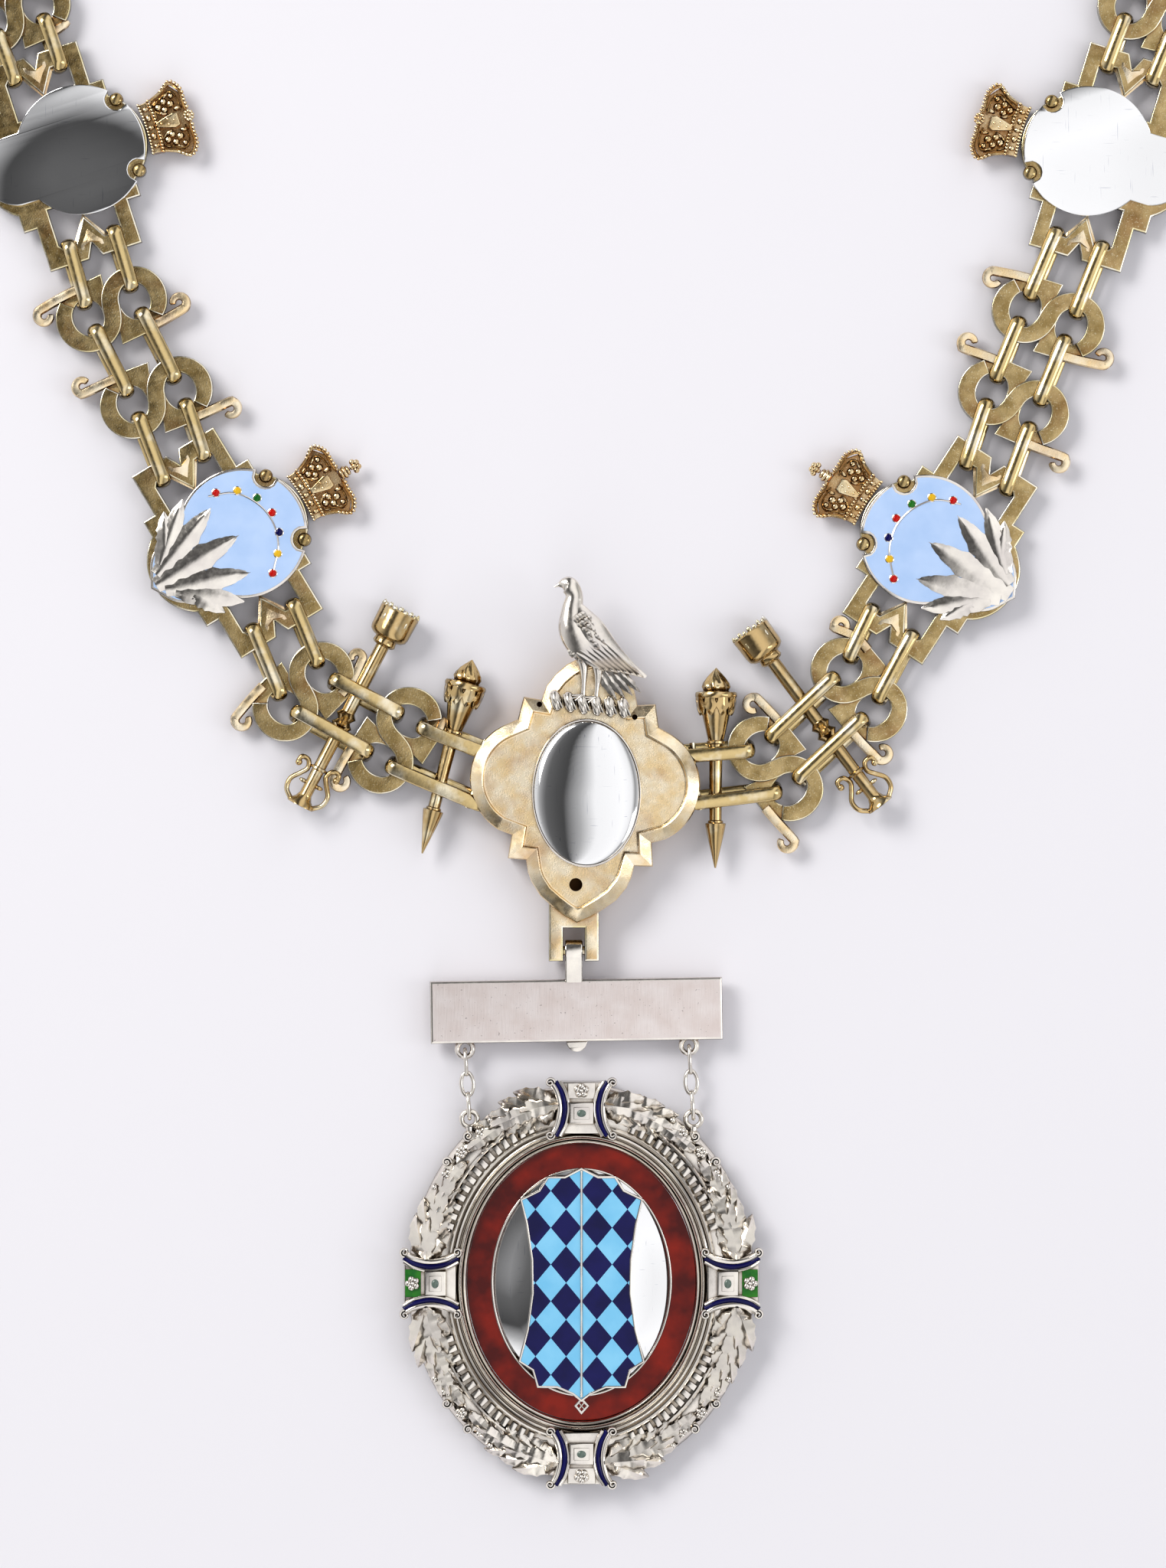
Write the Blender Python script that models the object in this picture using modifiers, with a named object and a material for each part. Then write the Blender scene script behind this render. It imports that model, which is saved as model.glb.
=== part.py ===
"""Mayoral chain of office, laid flat on its back in one closed loop.

Silver-gilt frame links and S-shaped links are joined by pairs of upright
rings. Maces and torches pass through the pairs beside the centre plaque,
and a silver and enamel badge hangs from the plaque by a bar and two chains.

All sizes below are in millimetres, and MM turns them into metres. X runs
across the loop, Y from the badge towards the neck, and Z is up from the
surface that the chain lies on. The origin is under the plaque's centre.
"""
import math

import bmesh
import bpy
from mathutils import Matrix, Vector

MM = 0.001

# Clearances between pieces that only touch
GAP = 0.3
RING_PLAY = 0.5

# How far inside a link's end a soldered ring ends
FUSED_DEEP = 1.2

# Rings: flattened wire bent to a long round-ended loop, standing on edge
WIRE_THICK = 1.5
WIRE_WIDE = 2.3
RING_TALL = 6.0
LONG_RING_TALL = 7.4

# Flat links
LINK_THICK = 2.0
LINK_FLOOR = WIRE_THICK + 0.5
LINK_TOP = LINK_FLOOR + LINK_THICK

# S-shaped links
S_HOLE_WIDE = 6.0
S_HOLE_LONG = 7.2
S_HOLE_SPACING = 9.7

# Frame links, with u along the chain and v across it
FRAME_LONG = 41.6
FRAME_END_BAR = 3.6
FRAME_LEG_OUT = 9.4
FRAME_LEG_IN = 6.3
FRAME_SHOULDER_OUT = 12.0
FRAME_SHOULDER_LONG = 24.0
FRAME_LOBE_RADIUS = 10.1
FRAME_LOBE_REACH = 16.8
FRAME_RING_SPACING = 9.3
FRAME_WINDOW_DEEP = 12.4
FRAME_TONGUE_WIDE = 5.8
FRAME_NOTCH_WIDE = 2.8
FRAME_NOTCH_DEEP = 2.8

# Enamelled or plain plates riveted on the frame links
PLATE_THICK = 1.2
PLATE_RADIUS = 12.75
PLATE_OFFSET = 3.6
PLATE_LOBE_RADIUS = 7.0
PLATE_LOBE_START = 98
PLATE_LOBE_END = 158
PLATE_CUSP = 148
PLATE_LOBE_OFFSET = 13.0
PLATE_TIP = 21.0
STUD_RADIUS = 1.7
STUD_ANGLE = 37.0
STUD_CIRCLE = 12.1

# Crowns at the neck side of the frame links
CROWN_BASE_WIDE = 9.6
CROWN_TOP_WIDE = 15.4
CROWN_TALL = 9.4
CROWN_THICK = 3.5
CROWN_ROOT = 1.6
CROWN_BAND_TALL = 2.6

# Centre plaque
PLAQUE_TOP = 9.0
PLAQUE_BEVEL = 1.1
PLAQUE_TURN = -3.3
PLAQUE_HALF_WIDE = 22.5
PLAQUE_LOBE_RADIUS = PLAQUE_HALF_WIDE * 0.516
PLAQUE_TIP_UP = 26.4
PLAQUE_TIP_DOWN = 26.1
# Corners above and below the round side, as a share of the half width and a height
PLAQUE_SHOULDER = ((0.213, 24.2), (0.382, 19.8), (0.418, 17.0), (0.573, 17.4), (0.613, 12.9))
PLAQUE_FOOT = ((0.609, -9.7), (0.631, -14.3), (0.471, -14.4), (0.413, -18.7), (0.222, -23.2))
PLAQUE_SLOT_LONG = 7.0
PLAQUE_BAR_THICK = 1.5
PLAQUE_BAR_TALL = 2.0
OVAL_WIDE = 21.4
OVAL_TALL = 29.0
OVAL_THICK = 2.4

# Bracket and hanger between the plaque and the name bar
BRACKET_X = -2.1
BRACKET_OUT = 4.9
BRACKET_IN = 2.1
BRACKET_END = 33.6
BRACKET_THICK = 4.6
PIN_RADIUS = 0.9
PIN_Y = -31.6
PIN_HEIGHT = 4.2
HANGER_RADIUS = 2.2
HANGER_WIDE = 3.4
HANGER_DIP = 25

# Name bar, left bare
BAR_LONG = 57.2
BAR_TALL = 12.2
BAR_THICK = 3.0
BAR_CENTRE = (-1.6, -43.3)
BAR_TURN = 0.9
BAR_MIDDLE = 3.6

# Eyes and small side chains
EYE_RADIUS = 1.55
EYE_WIRE = 0.52
EYE_SPACING = 43.9
CHAIN_WIRE = 0.4
CHAIN_LINK_LONG = 5.4
CHAIN_LINK_WIDE = 3.2

# Badge, with half-sizes of its ellipses across and up
BADGE_CENTRE = (-0.6, -96.6)
BADGE_INNER = (22.5, 27.2)
BADGE_RIM_WIDE = 12.0
BADGE_RIM_TALL = 6.6
BADGE_EYE_UP = 32.0
STRAP_WIDE = 11.4
STRAP_LONG = 10.8
STRAP_TALL = 7.6
ENAMEL_WIDE = 4.9
ENAMEL_THICK = 1.2
DISH_TOP = 2.0
SHIELD_THICK = 1.4
SHIELD_POST_RADIUS = 1.2
SHIELD_POST_APART = 30.0

# Maces and torches: distance from the top along the axis, and radius
MACE_PROFILE = (
    (0.0, 3.4), (0.4, 4.1), (4.8, 4.0), (6.2, 2.6), (6.4, 2.1), (7.8, 2.1), (8.0, 1.35),
    (22.6, 1.35), (23.2, 2.1), (24.4, 1.4), (25.6, 2.2), (26.4, 1.35), (41.0, 1.35), (43.2, 2.8),
)
TORCH_PROFILE = (
    (0.0, 0.15), (1.6, 1.5), (3.6, 2.6), (4.9, 2.5), (5.2, 4.0), (6.2, 4.15), (8.6, 3.3),
    (9.0, 2.8), (14.6, 1.45), (15.2, 1.35), (30.0, 1.3), (30.4, 1.95), (31.2, 1.9), (39.4, 0.15),
)
ROD_HEIGHT = 4.2
ROD_SIDES = 8

# Links of the stretch in front, from the badge outwards, each with its place
# and the heading of its holes or of its own length from the Y axis
LINK_PLACES = (
    ("s_link_left_1", "S", -37.2, 9.6, 51.6),
    ("s_link_left_2", "S", -55.1, 19.2, 40.0),
    ("frame_left_1", "F", -70.0, 48.3, 31.2),
    ("s_link_left_3", "S", -83.9, 76.8, 16.3),
    ("s_link_left_4", "S", -92.7, 94.1, 20.3),
    ("frame_left_2", "F", -102.1, 124.1, 18.0),
    ("s_link_left_5", "S", -111.7, 152.1, 18.5),
    ("s_link_right_1", "S", 37.4, 4.1, -56.3),
    ("s_link_right_2", "S", 53.8, 19.5, -55.0),
    ("frame_right_1", "F", 69.7, 46.9, -33.1),
    ("s_link_right_3", "S", 84.1, 75.8, -28.3),
    ("s_link_right_4", "S", 90.9, 92.4, -21.5),
    ("frame_right_2", "F", 102.1, 123.9, -16.9),
    ("s_link_right_5", "S", 111.7, 152.1, -18.5),
)

# The stretch behind the neck lies on one circle: link kind and the chain
# length from the link before, counted from the last link in front
BACK_PITCHES = (
    ("S", 19.2), ("F", 31.8), ("S", 31.8), ("S", 19.2),
    ("F", 31.8), ("S", 31.8), ("S", 19.2), ("F", 31.8),
)

# How each kind of tail of an S-shaped link curls: centre and radius of its
# curl beside the right hole, and the angles where the curl starts and ends
TAIL_KINDS = {
    "up": ((12.9, -3.4), 1.9, -60, 170),
    "high": ((12.3, -1.6), 1.6, -60, 170),
    "down": ((13.4, -6.1), 1.9, 75, -150),
    "near": ((12.4, -4.3), 1.7, 75, -150),
}

# Kinds of the left tail and the right tail of each such link
TAILS = {
    "s_link_left_1": ("up", "stub"),
    "s_link_left_2": ("up", "high"),
    "s_link_left_3": ("down", "down"),
    "s_link_left_4": ("up", "up"),
    "s_link_right_1": ("up", "down"),
    "s_link_right_2": ("near", "up"),
    "s_link_right_3": ("down", "down"),
    "s_link_right_4": ("up", "up"),
}

# Points of a round shape in front, behind the neck, and where the two meet
FINE_SIDES = 10
PLAIN_SIDES = 6
HALF_LOOSE_SIDES = 8
OVAL_SIDES = 24


def clear_scene():
    for thing in list(bpy.data.objects):
        bpy.data.objects.remove(thing, do_unlink=True)


def make_material(name, colour, roughness, metallic):
    material = bpy.data.materials.new(name)
    material.use_nodes = True
    shader = material.node_tree.nodes["Principled BSDF"]
    shader.inputs["Base Color"].default_value = (*colour, 1.0)
    shader.inputs["Roughness"].default_value = roughness
    shader.inputs["Metallic"].default_value = metallic
    material.diffuse_color = (*colour, 1.0)
    return material


def arc(centre, radius, start, end, count):
    """Points on a round arc, with angles in degrees and both ends kept."""
    points = []
    for index in range(count):
        angle = math.radians(start + (end - start) * index / (count - 1))
        x = centre[0] + radius * math.cos(angle)
        y = centre[1] + radius * math.sin(angle)
        points.append((x, y))
    return points


def ellipse(half_wide, half_tall, count, centre=(0.0, 0.0)):
    points = []
    for index in range(count):
        angle = math.tau * (index + 0.5) / count
        x = centre[0] + half_wide * math.cos(angle)
        y = centre[1] + half_tall * math.sin(angle)
        points.append((x, y))
    return points


def mirrored(points):
    """The same points on the other side of the Y axis, in reverse order."""
    return [(-x, y) for x, y in reversed(points)]


def turned(points):
    """The same points turned half a turn."""
    return [(-x, -y) for x, y in points]


def clean_mesh(mesh, matrix):
    """Weld a curve's loose caps, place it and turn its faces outwards."""
    work = bmesh.new()
    work.from_mesh(mesh)
    bmesh.ops.transform(work, matrix=matrix, verts=work.verts)
    bmesh.ops.remove_doubles(work, verts=work.verts, dist=0.000001)
    bmesh.ops.recalc_face_normals(work, faces=work.faces)
    work.to_mesh(mesh)
    work.free()
    return mesh


def solid_from(thing, matrix=None):
    """A plain mesh object from a curve or from an object with modifiers."""
    name = thing.name
    scene_objects = bpy.context.scene.collection.objects
    if name not in scene_objects:
        scene_objects.link(thing)
    bpy.context.view_layer.update()
    shape = thing.evaluated_get(bpy.context.evaluated_depsgraph_get())
    mesh = bpy.data.meshes.new_from_object(shape)
    mesh = clean_mesh(mesh, (matrix or Matrix()) @ thing.matrix_world)
    bpy.data.objects.remove(thing, do_unlink=True)
    solid = bpy.data.objects.new(name, mesh)
    scene_objects.link(solid)
    return solid


def flat_solid(name, outlines, floor, top, matrix=None):
    """An outline, with any holes in it, as a solid between two heights."""
    curve = bpy.data.curves.new(name, "CURVE")
    curve.dimensions = "2D"
    curve.fill_mode = "BOTH"
    curve.extrude = (top - floor) / 2 * MM
    for outline in outlines:
        spline = curve.splines.new("POLY")
        spline.points.add(len(outline) - 1)
        spline.use_cyclic_u = True
        for point, (x, y) in zip(spline.points, outline):
            point.co = (x * MM, y * MM, 0.0, 1.0)
    thing = bpy.data.objects.new(name, curve)
    thing.location.z = (top + floor) / 2 * MM
    return solid_from(thing, matrix)


def tube_solid(name, points, radius, closed=False, scale=(1.0, 1.0, 1.0), matrix=None, radii=None):
    """A round wire through points, six-sided, with welded caps."""
    curve = bpy.data.curves.new(name, "CURVE")
    curve.dimensions = "3D"
    curve.bevel_depth = radius * MM
    curve.bevel_resolution = 1
    curve.use_fill_caps = not closed
    spline = curve.splines.new("POLY")
    spline.points.add(len(points) - 1)
    spline.use_cyclic_u = closed
    for index, place in enumerate(points):
        spline.points[index].co = (place[0] * MM, place[1] * MM, place[2] * MM, 1.0)
        if radii:
            spline.points[index].radius = radii[index] / radius
    thing = bpy.data.objects.new(name, curve)
    thing.scale = scale
    return solid_from(thing, matrix)


def turned_solid(name, profile, sides, matrix=None):
    """A profile of (height, radius) pairs, top first, turned round Z."""
    mesh = bpy.data.meshes.new(name)
    places = [(0.0, 0.0, profile[0][0] * MM)]
    places += [(radius * MM, 0.0, height * MM) for height, radius in profile]
    places.append((0.0, 0.0, profile[-1][0] * MM))
    edges = [(index, index + 1) for index in range(len(places) - 1)]
    mesh.from_pydata(places, edges, [])
    thing = bpy.data.objects.new(name, mesh)
    screw = thing.modifiers.new("turn", "SCREW")
    screw.steps = sides
    screw.render_steps = sides
    screw.use_merge_vertices = True
    screw.merge_threshold = 0.00001
    return solid_from(thing, matrix)


def box_solid(name, low, high, matrix=None, bevel=0.0):
    bpy.ops.mesh.primitive_cube_add(size=1.0)
    thing = bpy.context.object
    thing.name = name
    middle = [(a + b) / 2 * MM for a, b in zip(low, high)]
    sizes = [(b - a) * MM for a, b in zip(low, high)]
    thing.data.transform(Matrix.Diagonal((*sizes, 1.0)))
    thing.data.transform(Matrix.Translation(middle))
    if bevel:
        edge = thing.modifiers.new("edge", "BEVEL")
        edge.width = bevel * MM
        edge.segments = 1
    return solid_from(thing, matrix)


def combine(target, others, operation="UNION", solver="EXACT"):
    """Join or cut a solid with others, and keep one solid."""
    tools = bpy.data.collections.new("cutters")
    for other in others:
        tools.objects.link(other)
    step = target.modifiers.new("step", "BOOLEAN")
    step.operation = operation
    step.solver = solver
    step.operand_type = "COLLECTION"
    step.collection = tools
    result = solid_from(target)
    for other in others:
        bpy.data.objects.remove(other, do_unlink=True)
    bpy.data.collections.remove(tools)
    return result


def bevel_rim(thing, width):
    """Bevel the edge round a flat solid's upper face."""
    work = bmesh.new()
    work.from_mesh(thing.data)
    top = max(vertex.co.z for vertex in work.verts)
    rim = []
    for edge in work.edges:
        level = all(abs(vertex.co.z - top) < 0.01 * MM for vertex in edge.verts)
        rim.append(1.0 if level and edge.calc_face_angle(0.0) > 1.0 else 0.0)
    work.free()
    weights = thing.data.attributes.new("bevel_weight_edge", "FLOAT", "EDGE")
    weights.data.foreach_set("value", rim)
    step = thing.modifiers.new("edge", "BEVEL")
    step.limit_method = "WEIGHT"
    step.width = width * MM
    step.segments = 1


def place(x, y, degrees, z=0.0):
    """A matrix that turns about Z and moves, with the place in millimetres."""
    move = Matrix.Translation((x * MM, y * MM, z * MM))
    return move @ Matrix.Rotation(math.radians(degrees), 4, "Z")


def finish(thing, name, material, smooth=False):
    """Give a finished solid its name, material and shading."""
    thing.name = name
    thing.data.name = name
    thing.data.materials.clear()
    thing.data.materials.append(material)
    if smooth:
        thing.data.shade_smooth()
        thing.data.set_sharp_from_angle(angle=math.radians(35))
    for collection in list(thing.users_collection):
        collection.objects.unlink(thing)
    PARTS.objects.link(thing)
    return thing


def tail(kind, fine):
    """Right tail of an S-shaped link: a bar end curled to one side."""
    if kind == "stub":
        return [(9.4, -4.2), (9.9, -5.2), (6.3, -6.6)]
    if not fine:
        return [(13.2, -3.6), (14.4, -5.2), (6.3, -6.6)]
    centre, radius, start, end = TAIL_KINDS[kind]
    outer = arc(centre, radius, start, end, 6)
    inner = arc(centre, radius * 0.4, end * 0.87, start * 0.33, 4)
    if start < end:
        rise = centre[1] - TAIL_KINDS["up"][0][1]
        return list(reversed(outer + inner)) + [(6.3, -6.6 + rise * 0.4)]
    return outer + inner + [(6.3, -6.6)]


def s_outline(kinds, count):
    """Outline and holes of an S-shaped link, with its holes along X.

    Behind the neck the rings are soldered in, so no hole is left round them.
    """
    fine = count == FINE_SIDES
    loops = 6 if fine else 4
    loop_centre = (S_HOLE_SPACING / 2, 0.3)

    def half(kind):
        seam = [(-0.3, 5.6), (0.5, 5.5)] if fine else []
        side = [(-0.1, 7.3)] + seam + [(1.7, 6.9)]
        side += arc(loop_centre, 6.2, 100, -46, loops)
        return side + tail(kind, fine)

    outline = half(kinds[1]) + turned(half(kinds[0]))
    if not fine:
        return [outline]
    hole = ellipse(S_HOLE_WIDE / 2, S_HOLE_LONG / 2, count, (S_HOLE_SPACING / 2, 0.0))
    return [outline, hole, turned(hole)]


def frame_half_outline(count):
    """Right half of a frame link's outline, from its upper end to its lower."""
    end = FRAME_LONG / 2
    shoulder = FRAME_SHOULDER_LONG / 2
    lobe_centre = FRAME_LOBE_REACH - FRAME_LOBE_RADIUS
    start = math.degrees(math.acos((FRAME_SHOULDER_OUT - lobe_centre) / FRAME_LOBE_RADIUS))
    upper = [
        (0.0, end - FRAME_NOTCH_DEEP),
        (FRAME_NOTCH_WIDE / 2, end),
        (FRAME_LEG_OUT, end),
        (FRAME_LEG_OUT, shoulder),
        (FRAME_SHOULDER_OUT, shoulder),
    ]
    lobe = arc((lobe_centre, 0.0), FRAME_LOBE_RADIUS, start, -start, count - 1)
    lower = [(x, -y) for x, y in reversed(upper)]
    return upper + lobe + lower


def frame_window():
    """One of the two W-shaped windows of a frame link, at its upper end."""
    end = FRAME_LONG / 2 - FRAME_END_BAR
    deep = end - FRAME_WINDOW_DEEP + 3.5
    half = FRAME_TONGUE_WIDE / 2
    right = [(half, end), (FRAME_LEG_IN, end), (FRAME_LEG_IN, deep)]
    return [(0.0, FRAME_WINDOW_DEEP)] + right + mirrored(right)


def link_matrix(link):
    return place(link["place"].x, link["place"].y, link["turn"])


def frame_link(link, with_cross):
    """A pierced frame link with its studs and crown soldered on."""
    name, side, count = link["name"], link["side"], link["count"]
    matrix = link_matrix(link)
    half = frame_half_outline(count)
    outline = half + mirrored(half)[1:-1]
    window = frame_window()
    lower_window = [(v, -u) for v, u in reversed(window)]
    frame = flat_solid(name, [outline, window, lower_window], LINK_FLOOR, LINK_TOP, matrix)
    extras = [crown(side, matrix, with_cross, count)]
    for sign in (1, -1) if count == FINE_SIDES else ():
        angle = math.radians(sign * STUD_ANGLE)
        stud_x = side * (PLATE_OFFSET + STUD_CIRCLE * math.cos(angle))
        stud_y = STUD_CIRCLE * math.sin(angle)
        top = LINK_TOP + GAP + PLATE_THICK * 0.8
        profile = ((top, STUD_RADIUS * 0.8), (LINK_TOP - 0.4, STUD_RADIUS))
        extras.append(turned_solid("stud", profile, 6, matrix @ place(stud_x, stud_y, 0)))
    return combine(frame, extras, solver="MANIFOLD")


def crown(side, matrix, with_cross, count):
    """A crown lying flat, its band towards the plate and its arches outwards."""
    start = PLATE_OFFSET + PLATE_RADIUS + GAP
    root = FRAME_LOBE_REACH - CROWN_ROOT
    band = start + CROWN_BAND_TALL
    top = start + CROWN_TALL
    base = CROWN_BASE_WIDE / 2
    wide = CROWN_TOP_WIDE / 2
    upper = [(root, base * 0.7), (start, base), (band, base + 0.5)]
    upper += [(band + 0.8, base + 0.2), (top - 2.6, wide)]
    if count == FINE_SIDES:
        upper += [(top - 1.2, wide - 0.6), (top - 0.2, wide * 0.55), (top, 1.2)]
    else:
        upper += [(top, wide * 0.5)]
    if with_cross:
        upper += [(top + 1.6, 0.9), (top + 1.6, 2.0), (top + 3.4, 2.0), (top + 4.2, 0.8)]
    lower = [(v, -u) for v, u in reversed(upper)]
    outline = [(side * v, u) for v, u in upper + lower]
    crown_top = LINK_TOP - GAP / 2
    return flat_solid("crown", [outline], crown_top - CROWN_THICK, crown_top, matrix)


def plate_outline(side, count):
    """Round plate with a pointed outer lobe and two notches for the studs."""
    notch = STUD_RADIUS + 0.45
    spread = math.degrees(2 * math.asin(notch / (2 * PLATE_RADIUS)))
    upper = arc((0.0, 0.0), PLATE_RADIUS, 0, STUD_ANGLE - spread, 3)
    stud = (
        STUD_CIRCLE * math.cos(math.radians(STUD_ANGLE)),
        STUD_CIRCLE * math.sin(math.radians(STUD_ANGLE)),
    )
    upper += arc(stud, notch, STUD_ANGLE - 100, STUD_ANGLE - 260, 4 if count == FINE_SIDES else 3)
    upper += arc((0.0, 0.0), PLATE_RADIUS, STUD_ANGLE + spread, PLATE_CUSP, count - 2)
    lobe = (-PLATE_LOBE_OFFSET, 0.0)
    upper += arc(lobe, PLATE_LOBE_RADIUS, PLATE_LOBE_START, PLATE_LOBE_END, 3 if count == FINE_SIDES else 2)
    tip = [(-PLATE_TIP, 0.0)]
    lower = [(v, -u) for v, u in reversed(upper[1:])]
    outline = [(side * (v + PLATE_OFFSET), u) for v, u in upper + tip + lower]
    return outline


def plate(link, gap):
    floor = LINK_TOP + gap
    outline = plate_outline(link["side"], link["count"])
    return flat_solid("plate", [outline], floor, floor + PLATE_THICK, link_matrix(link))


def s_link(link):
    kinds = TAILS.get(link["name"], ("up", "up"))
    outlines = s_outline(kinds, link["count"])
    return flat_solid(link["name"], outlines, LINK_FLOOR, LINK_TOP, link_matrix(link))


def stadium(straight, radius, count):
    """A long loop with round ends, as points in a plane."""
    half = count // 2
    points = arc((straight, 0.0), radius, -90, 90, half)
    return points + turned(points)


def ring(name, start, end, height, count):
    """An upright ring whose inner ends lie at two points of the plan."""
    start, end = Vector(start), Vector(end)
    run = end - start
    middle = (start + end) / 2
    radius = (height - WIRE_THICK) / 2
    straight = (run.length + WIRE_THICK) / 2 - radius
    heading = math.degrees(math.atan2(run.y, run.x))
    if count == FINE_SIDES:
        points = [(x, 0.0, z) for x, z in stadium(straight, radius, count)]
        wide = (1.0, WIRE_WIDE / WIRE_THICK, 1.0)
        solid = tube_solid(name, points, WIRE_THICK / 2, closed=True, scale=wide)
    else:
        outlines = [stadium(straight, radius + sign * WIRE_THICK / 2, count) for sign in (1, -1)]
        upright = Matrix.Rotation(math.radians(90), 4, "X")
        solid = flat_solid(name, outlines, -WIRE_WIDE / 2, WIRE_WIDE / 2, upright)
    lowest = min(vertex.co.z for vertex in solid.data.vertices)
    solid.data.transform(Matrix.Translation((0.0, 0.0, -lowest)))
    solid.data.transform(place(middle.x, middle.y, heading))
    return solid


def hook_in(height):
    """How far a ring's round inner end leans over a flat link's edge."""
    inner = height / 2 - WIRE_THICK
    reach = max(abs(LINK_TOP - height / 2), abs(LINK_FLOOR - height / 2))
    return inner - math.sqrt(inner * inner - reach * reach)


def s_hole(link, sign):
    """Centre of one hole of an S-shaped link in the plan."""
    angle = math.radians(link["turn"])
    step = Vector((math.cos(angle), math.sin(angle))) * (sign * S_HOLE_SPACING / 2)
    return link["place"] + step


def reach_in_hole(link, heading, height):
    """Distance from a hole's centre to a ring's inner end, along its run."""
    angle = math.radians(link["turn"])
    along = Vector((heading.x * math.cos(angle) + heading.y * math.sin(angle),
                    heading.y * math.cos(angle) - heading.x * math.sin(angle)))
    across = Vector((-along.y, along.x)) * (WIRE_WIDE / 2)
    wide = S_HOLE_WIDE / 2 * math.cos(math.pi / FINE_SIDES)
    long = S_HOLE_LONG / 2 * math.cos(math.pi / FINE_SIDES)
    best = long
    for sign in (1, -1):
        side = across * sign
        a = (along.x / wide) ** 2 + (along.y / long) ** 2
        b = along.x * side.x / wide ** 2 + along.y * side.y / long ** 2
        c = (side.x / wide) ** 2 + (side.y / long) ** 2 - 1
        best = min(best, (-b + math.sqrt(b * b - a * c)) / a)
    return best - hook_in(height) - RING_PLAY


def ring_anchor(link, sign, towards, loose):
    """Where a ring hooks on: a hole's centre or a point inside an end bar."""
    if link["kind"] == "S":
        return s_hole(link, sign)
    angle = math.radians(link["turn"])
    along = Vector((-math.sin(angle), math.cos(angle)))
    across = Vector((math.cos(angle), math.sin(angle)))
    if along.dot(towards - link["place"]) < 0:
        along = -along
    inner = FRAME_LONG / 2 - (FRAME_END_BAR + RING_PLAY if loose else FUSED_DEEP)
    return link["place"] + along * inner + across * (sign * FRAME_RING_SPACING / 2)


def ring_between(name, first, second, signs, height, count, loose=(True, True)):
    """One ring of a pair, from a link to the next link of the chain."""
    start = ring_anchor(first, signs[0], second["place"], loose[0])
    end = ring_anchor(second, signs[1], first["place"], loose[1])
    heading = (end - start).normalized()
    for link, point, direction in ((first, start, heading), (second, end, -heading)):
        if link["kind"] == "S":
            point += direction * reach_in_hole(link, direction, height)
        else:
            point -= direction * hook_in(height)
    return ring(name, start, end, height, count)


def plaque_ring(link, sign, inner_end):
    """A long ring from an S-shaped link to its bar under the plaque."""
    start = s_hole(link, sign)
    end = Vector(inner_end)
    heading = (end - start).normalized()
    start += heading * reach_in_hole(link, heading, LONG_RING_TALL)
    return ring("ring", start, end, LONG_RING_TALL, FINE_SIDES), (end, heading)


def rod(name, profile, top, foot, scrolls):
    """A mace or torch lying on the surface, from its top to its foot."""
    top, foot = Vector(top), Vector(foot)
    run = foot - top
    heading = math.degrees(math.atan2(run.y, run.x))
    lay = place(top.x, top.y, heading, ROD_HEIGHT) @ Matrix.Rotation(math.radians(90), 4, "Y")
    solid = turned_solid(name, [(distance, radius) for distance, radius in profile], ROD_SIDES, lay)
    if not scrolls:
        return solid
    length = profile[-1][0]
    shaft = profile[-2][1]
    extras = []
    for sign in (1, -1):
        path = [
            (length - 7.6, shaft * 0.5), (length - 5.4, shaft + 2.2), (length - 2.2, shaft + 3.4),
            (length - 0.6, shaft + 2.2), (length - 1.6, shaft * 0.4),
        ]
        points = [(along, sign * across, 0.0) for along, across in path]
        extras.append(tube_solid("scroll", points, 0.6, matrix=place(top.x, top.y, heading, ROD_HEIGHT)))
    return combine(solid, extras)


def plaque_outline():
    """Outline of the plaque: pointed top and foot, round sides, square ears."""
    lobe = (PLAQUE_HALF_WIDE - PLAQUE_LOBE_RADIUS, 1.4)
    right = [(0.0, PLAQUE_TIP_UP)]
    right += [(share * PLAQUE_HALF_WIDE, up) for share, up in PLAQUE_SHOULDER]
    right += arc(lobe, PLAQUE_LOBE_RADIUS, 66, -62, 9)
    right += [(share * PLAQUE_HALF_WIDE, up) for share, up in PLAQUE_FOOT]
    return right + [(0.0, -PLAQUE_TIP_DOWN)] + mirrored(right[1:])


def plaque_slots(rings):
    """Boxes cut under the plaque for the rings, and the bars left in them."""
    cutters, bars = [], []
    for tip, heading in rings:
        degrees = math.degrees(math.atan2(heading.y, heading.x))
        matrix = place(tip.x, tip.y, degrees)
        wide = WIRE_WIDE / 2 + RING_PLAY
        inner = WIRE_THICK + GAP
        bar_near = -PLAQUE_BAR_THICK - hook_in(LONG_RING_TALL) - RING_PLAY
        low = (-PLAQUE_SLOT_LONG, -wide, -1.0)
        high = (inner, wide, LONG_RING_TALL + GAP)
        cutters.append(box_solid("slot", low, high, matrix))
        floor = LONG_RING_TALL / 2 - PLAQUE_BAR_TALL / 2
        low = (bar_near, -wide - 0.4, floor)
        high = (bar_near + PLAQUE_BAR_THICK, wide + 0.4, floor + PLAQUE_BAR_TALL)
        bars.append(box_solid("bar", low, high, matrix))
    return cutters, bars


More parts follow.
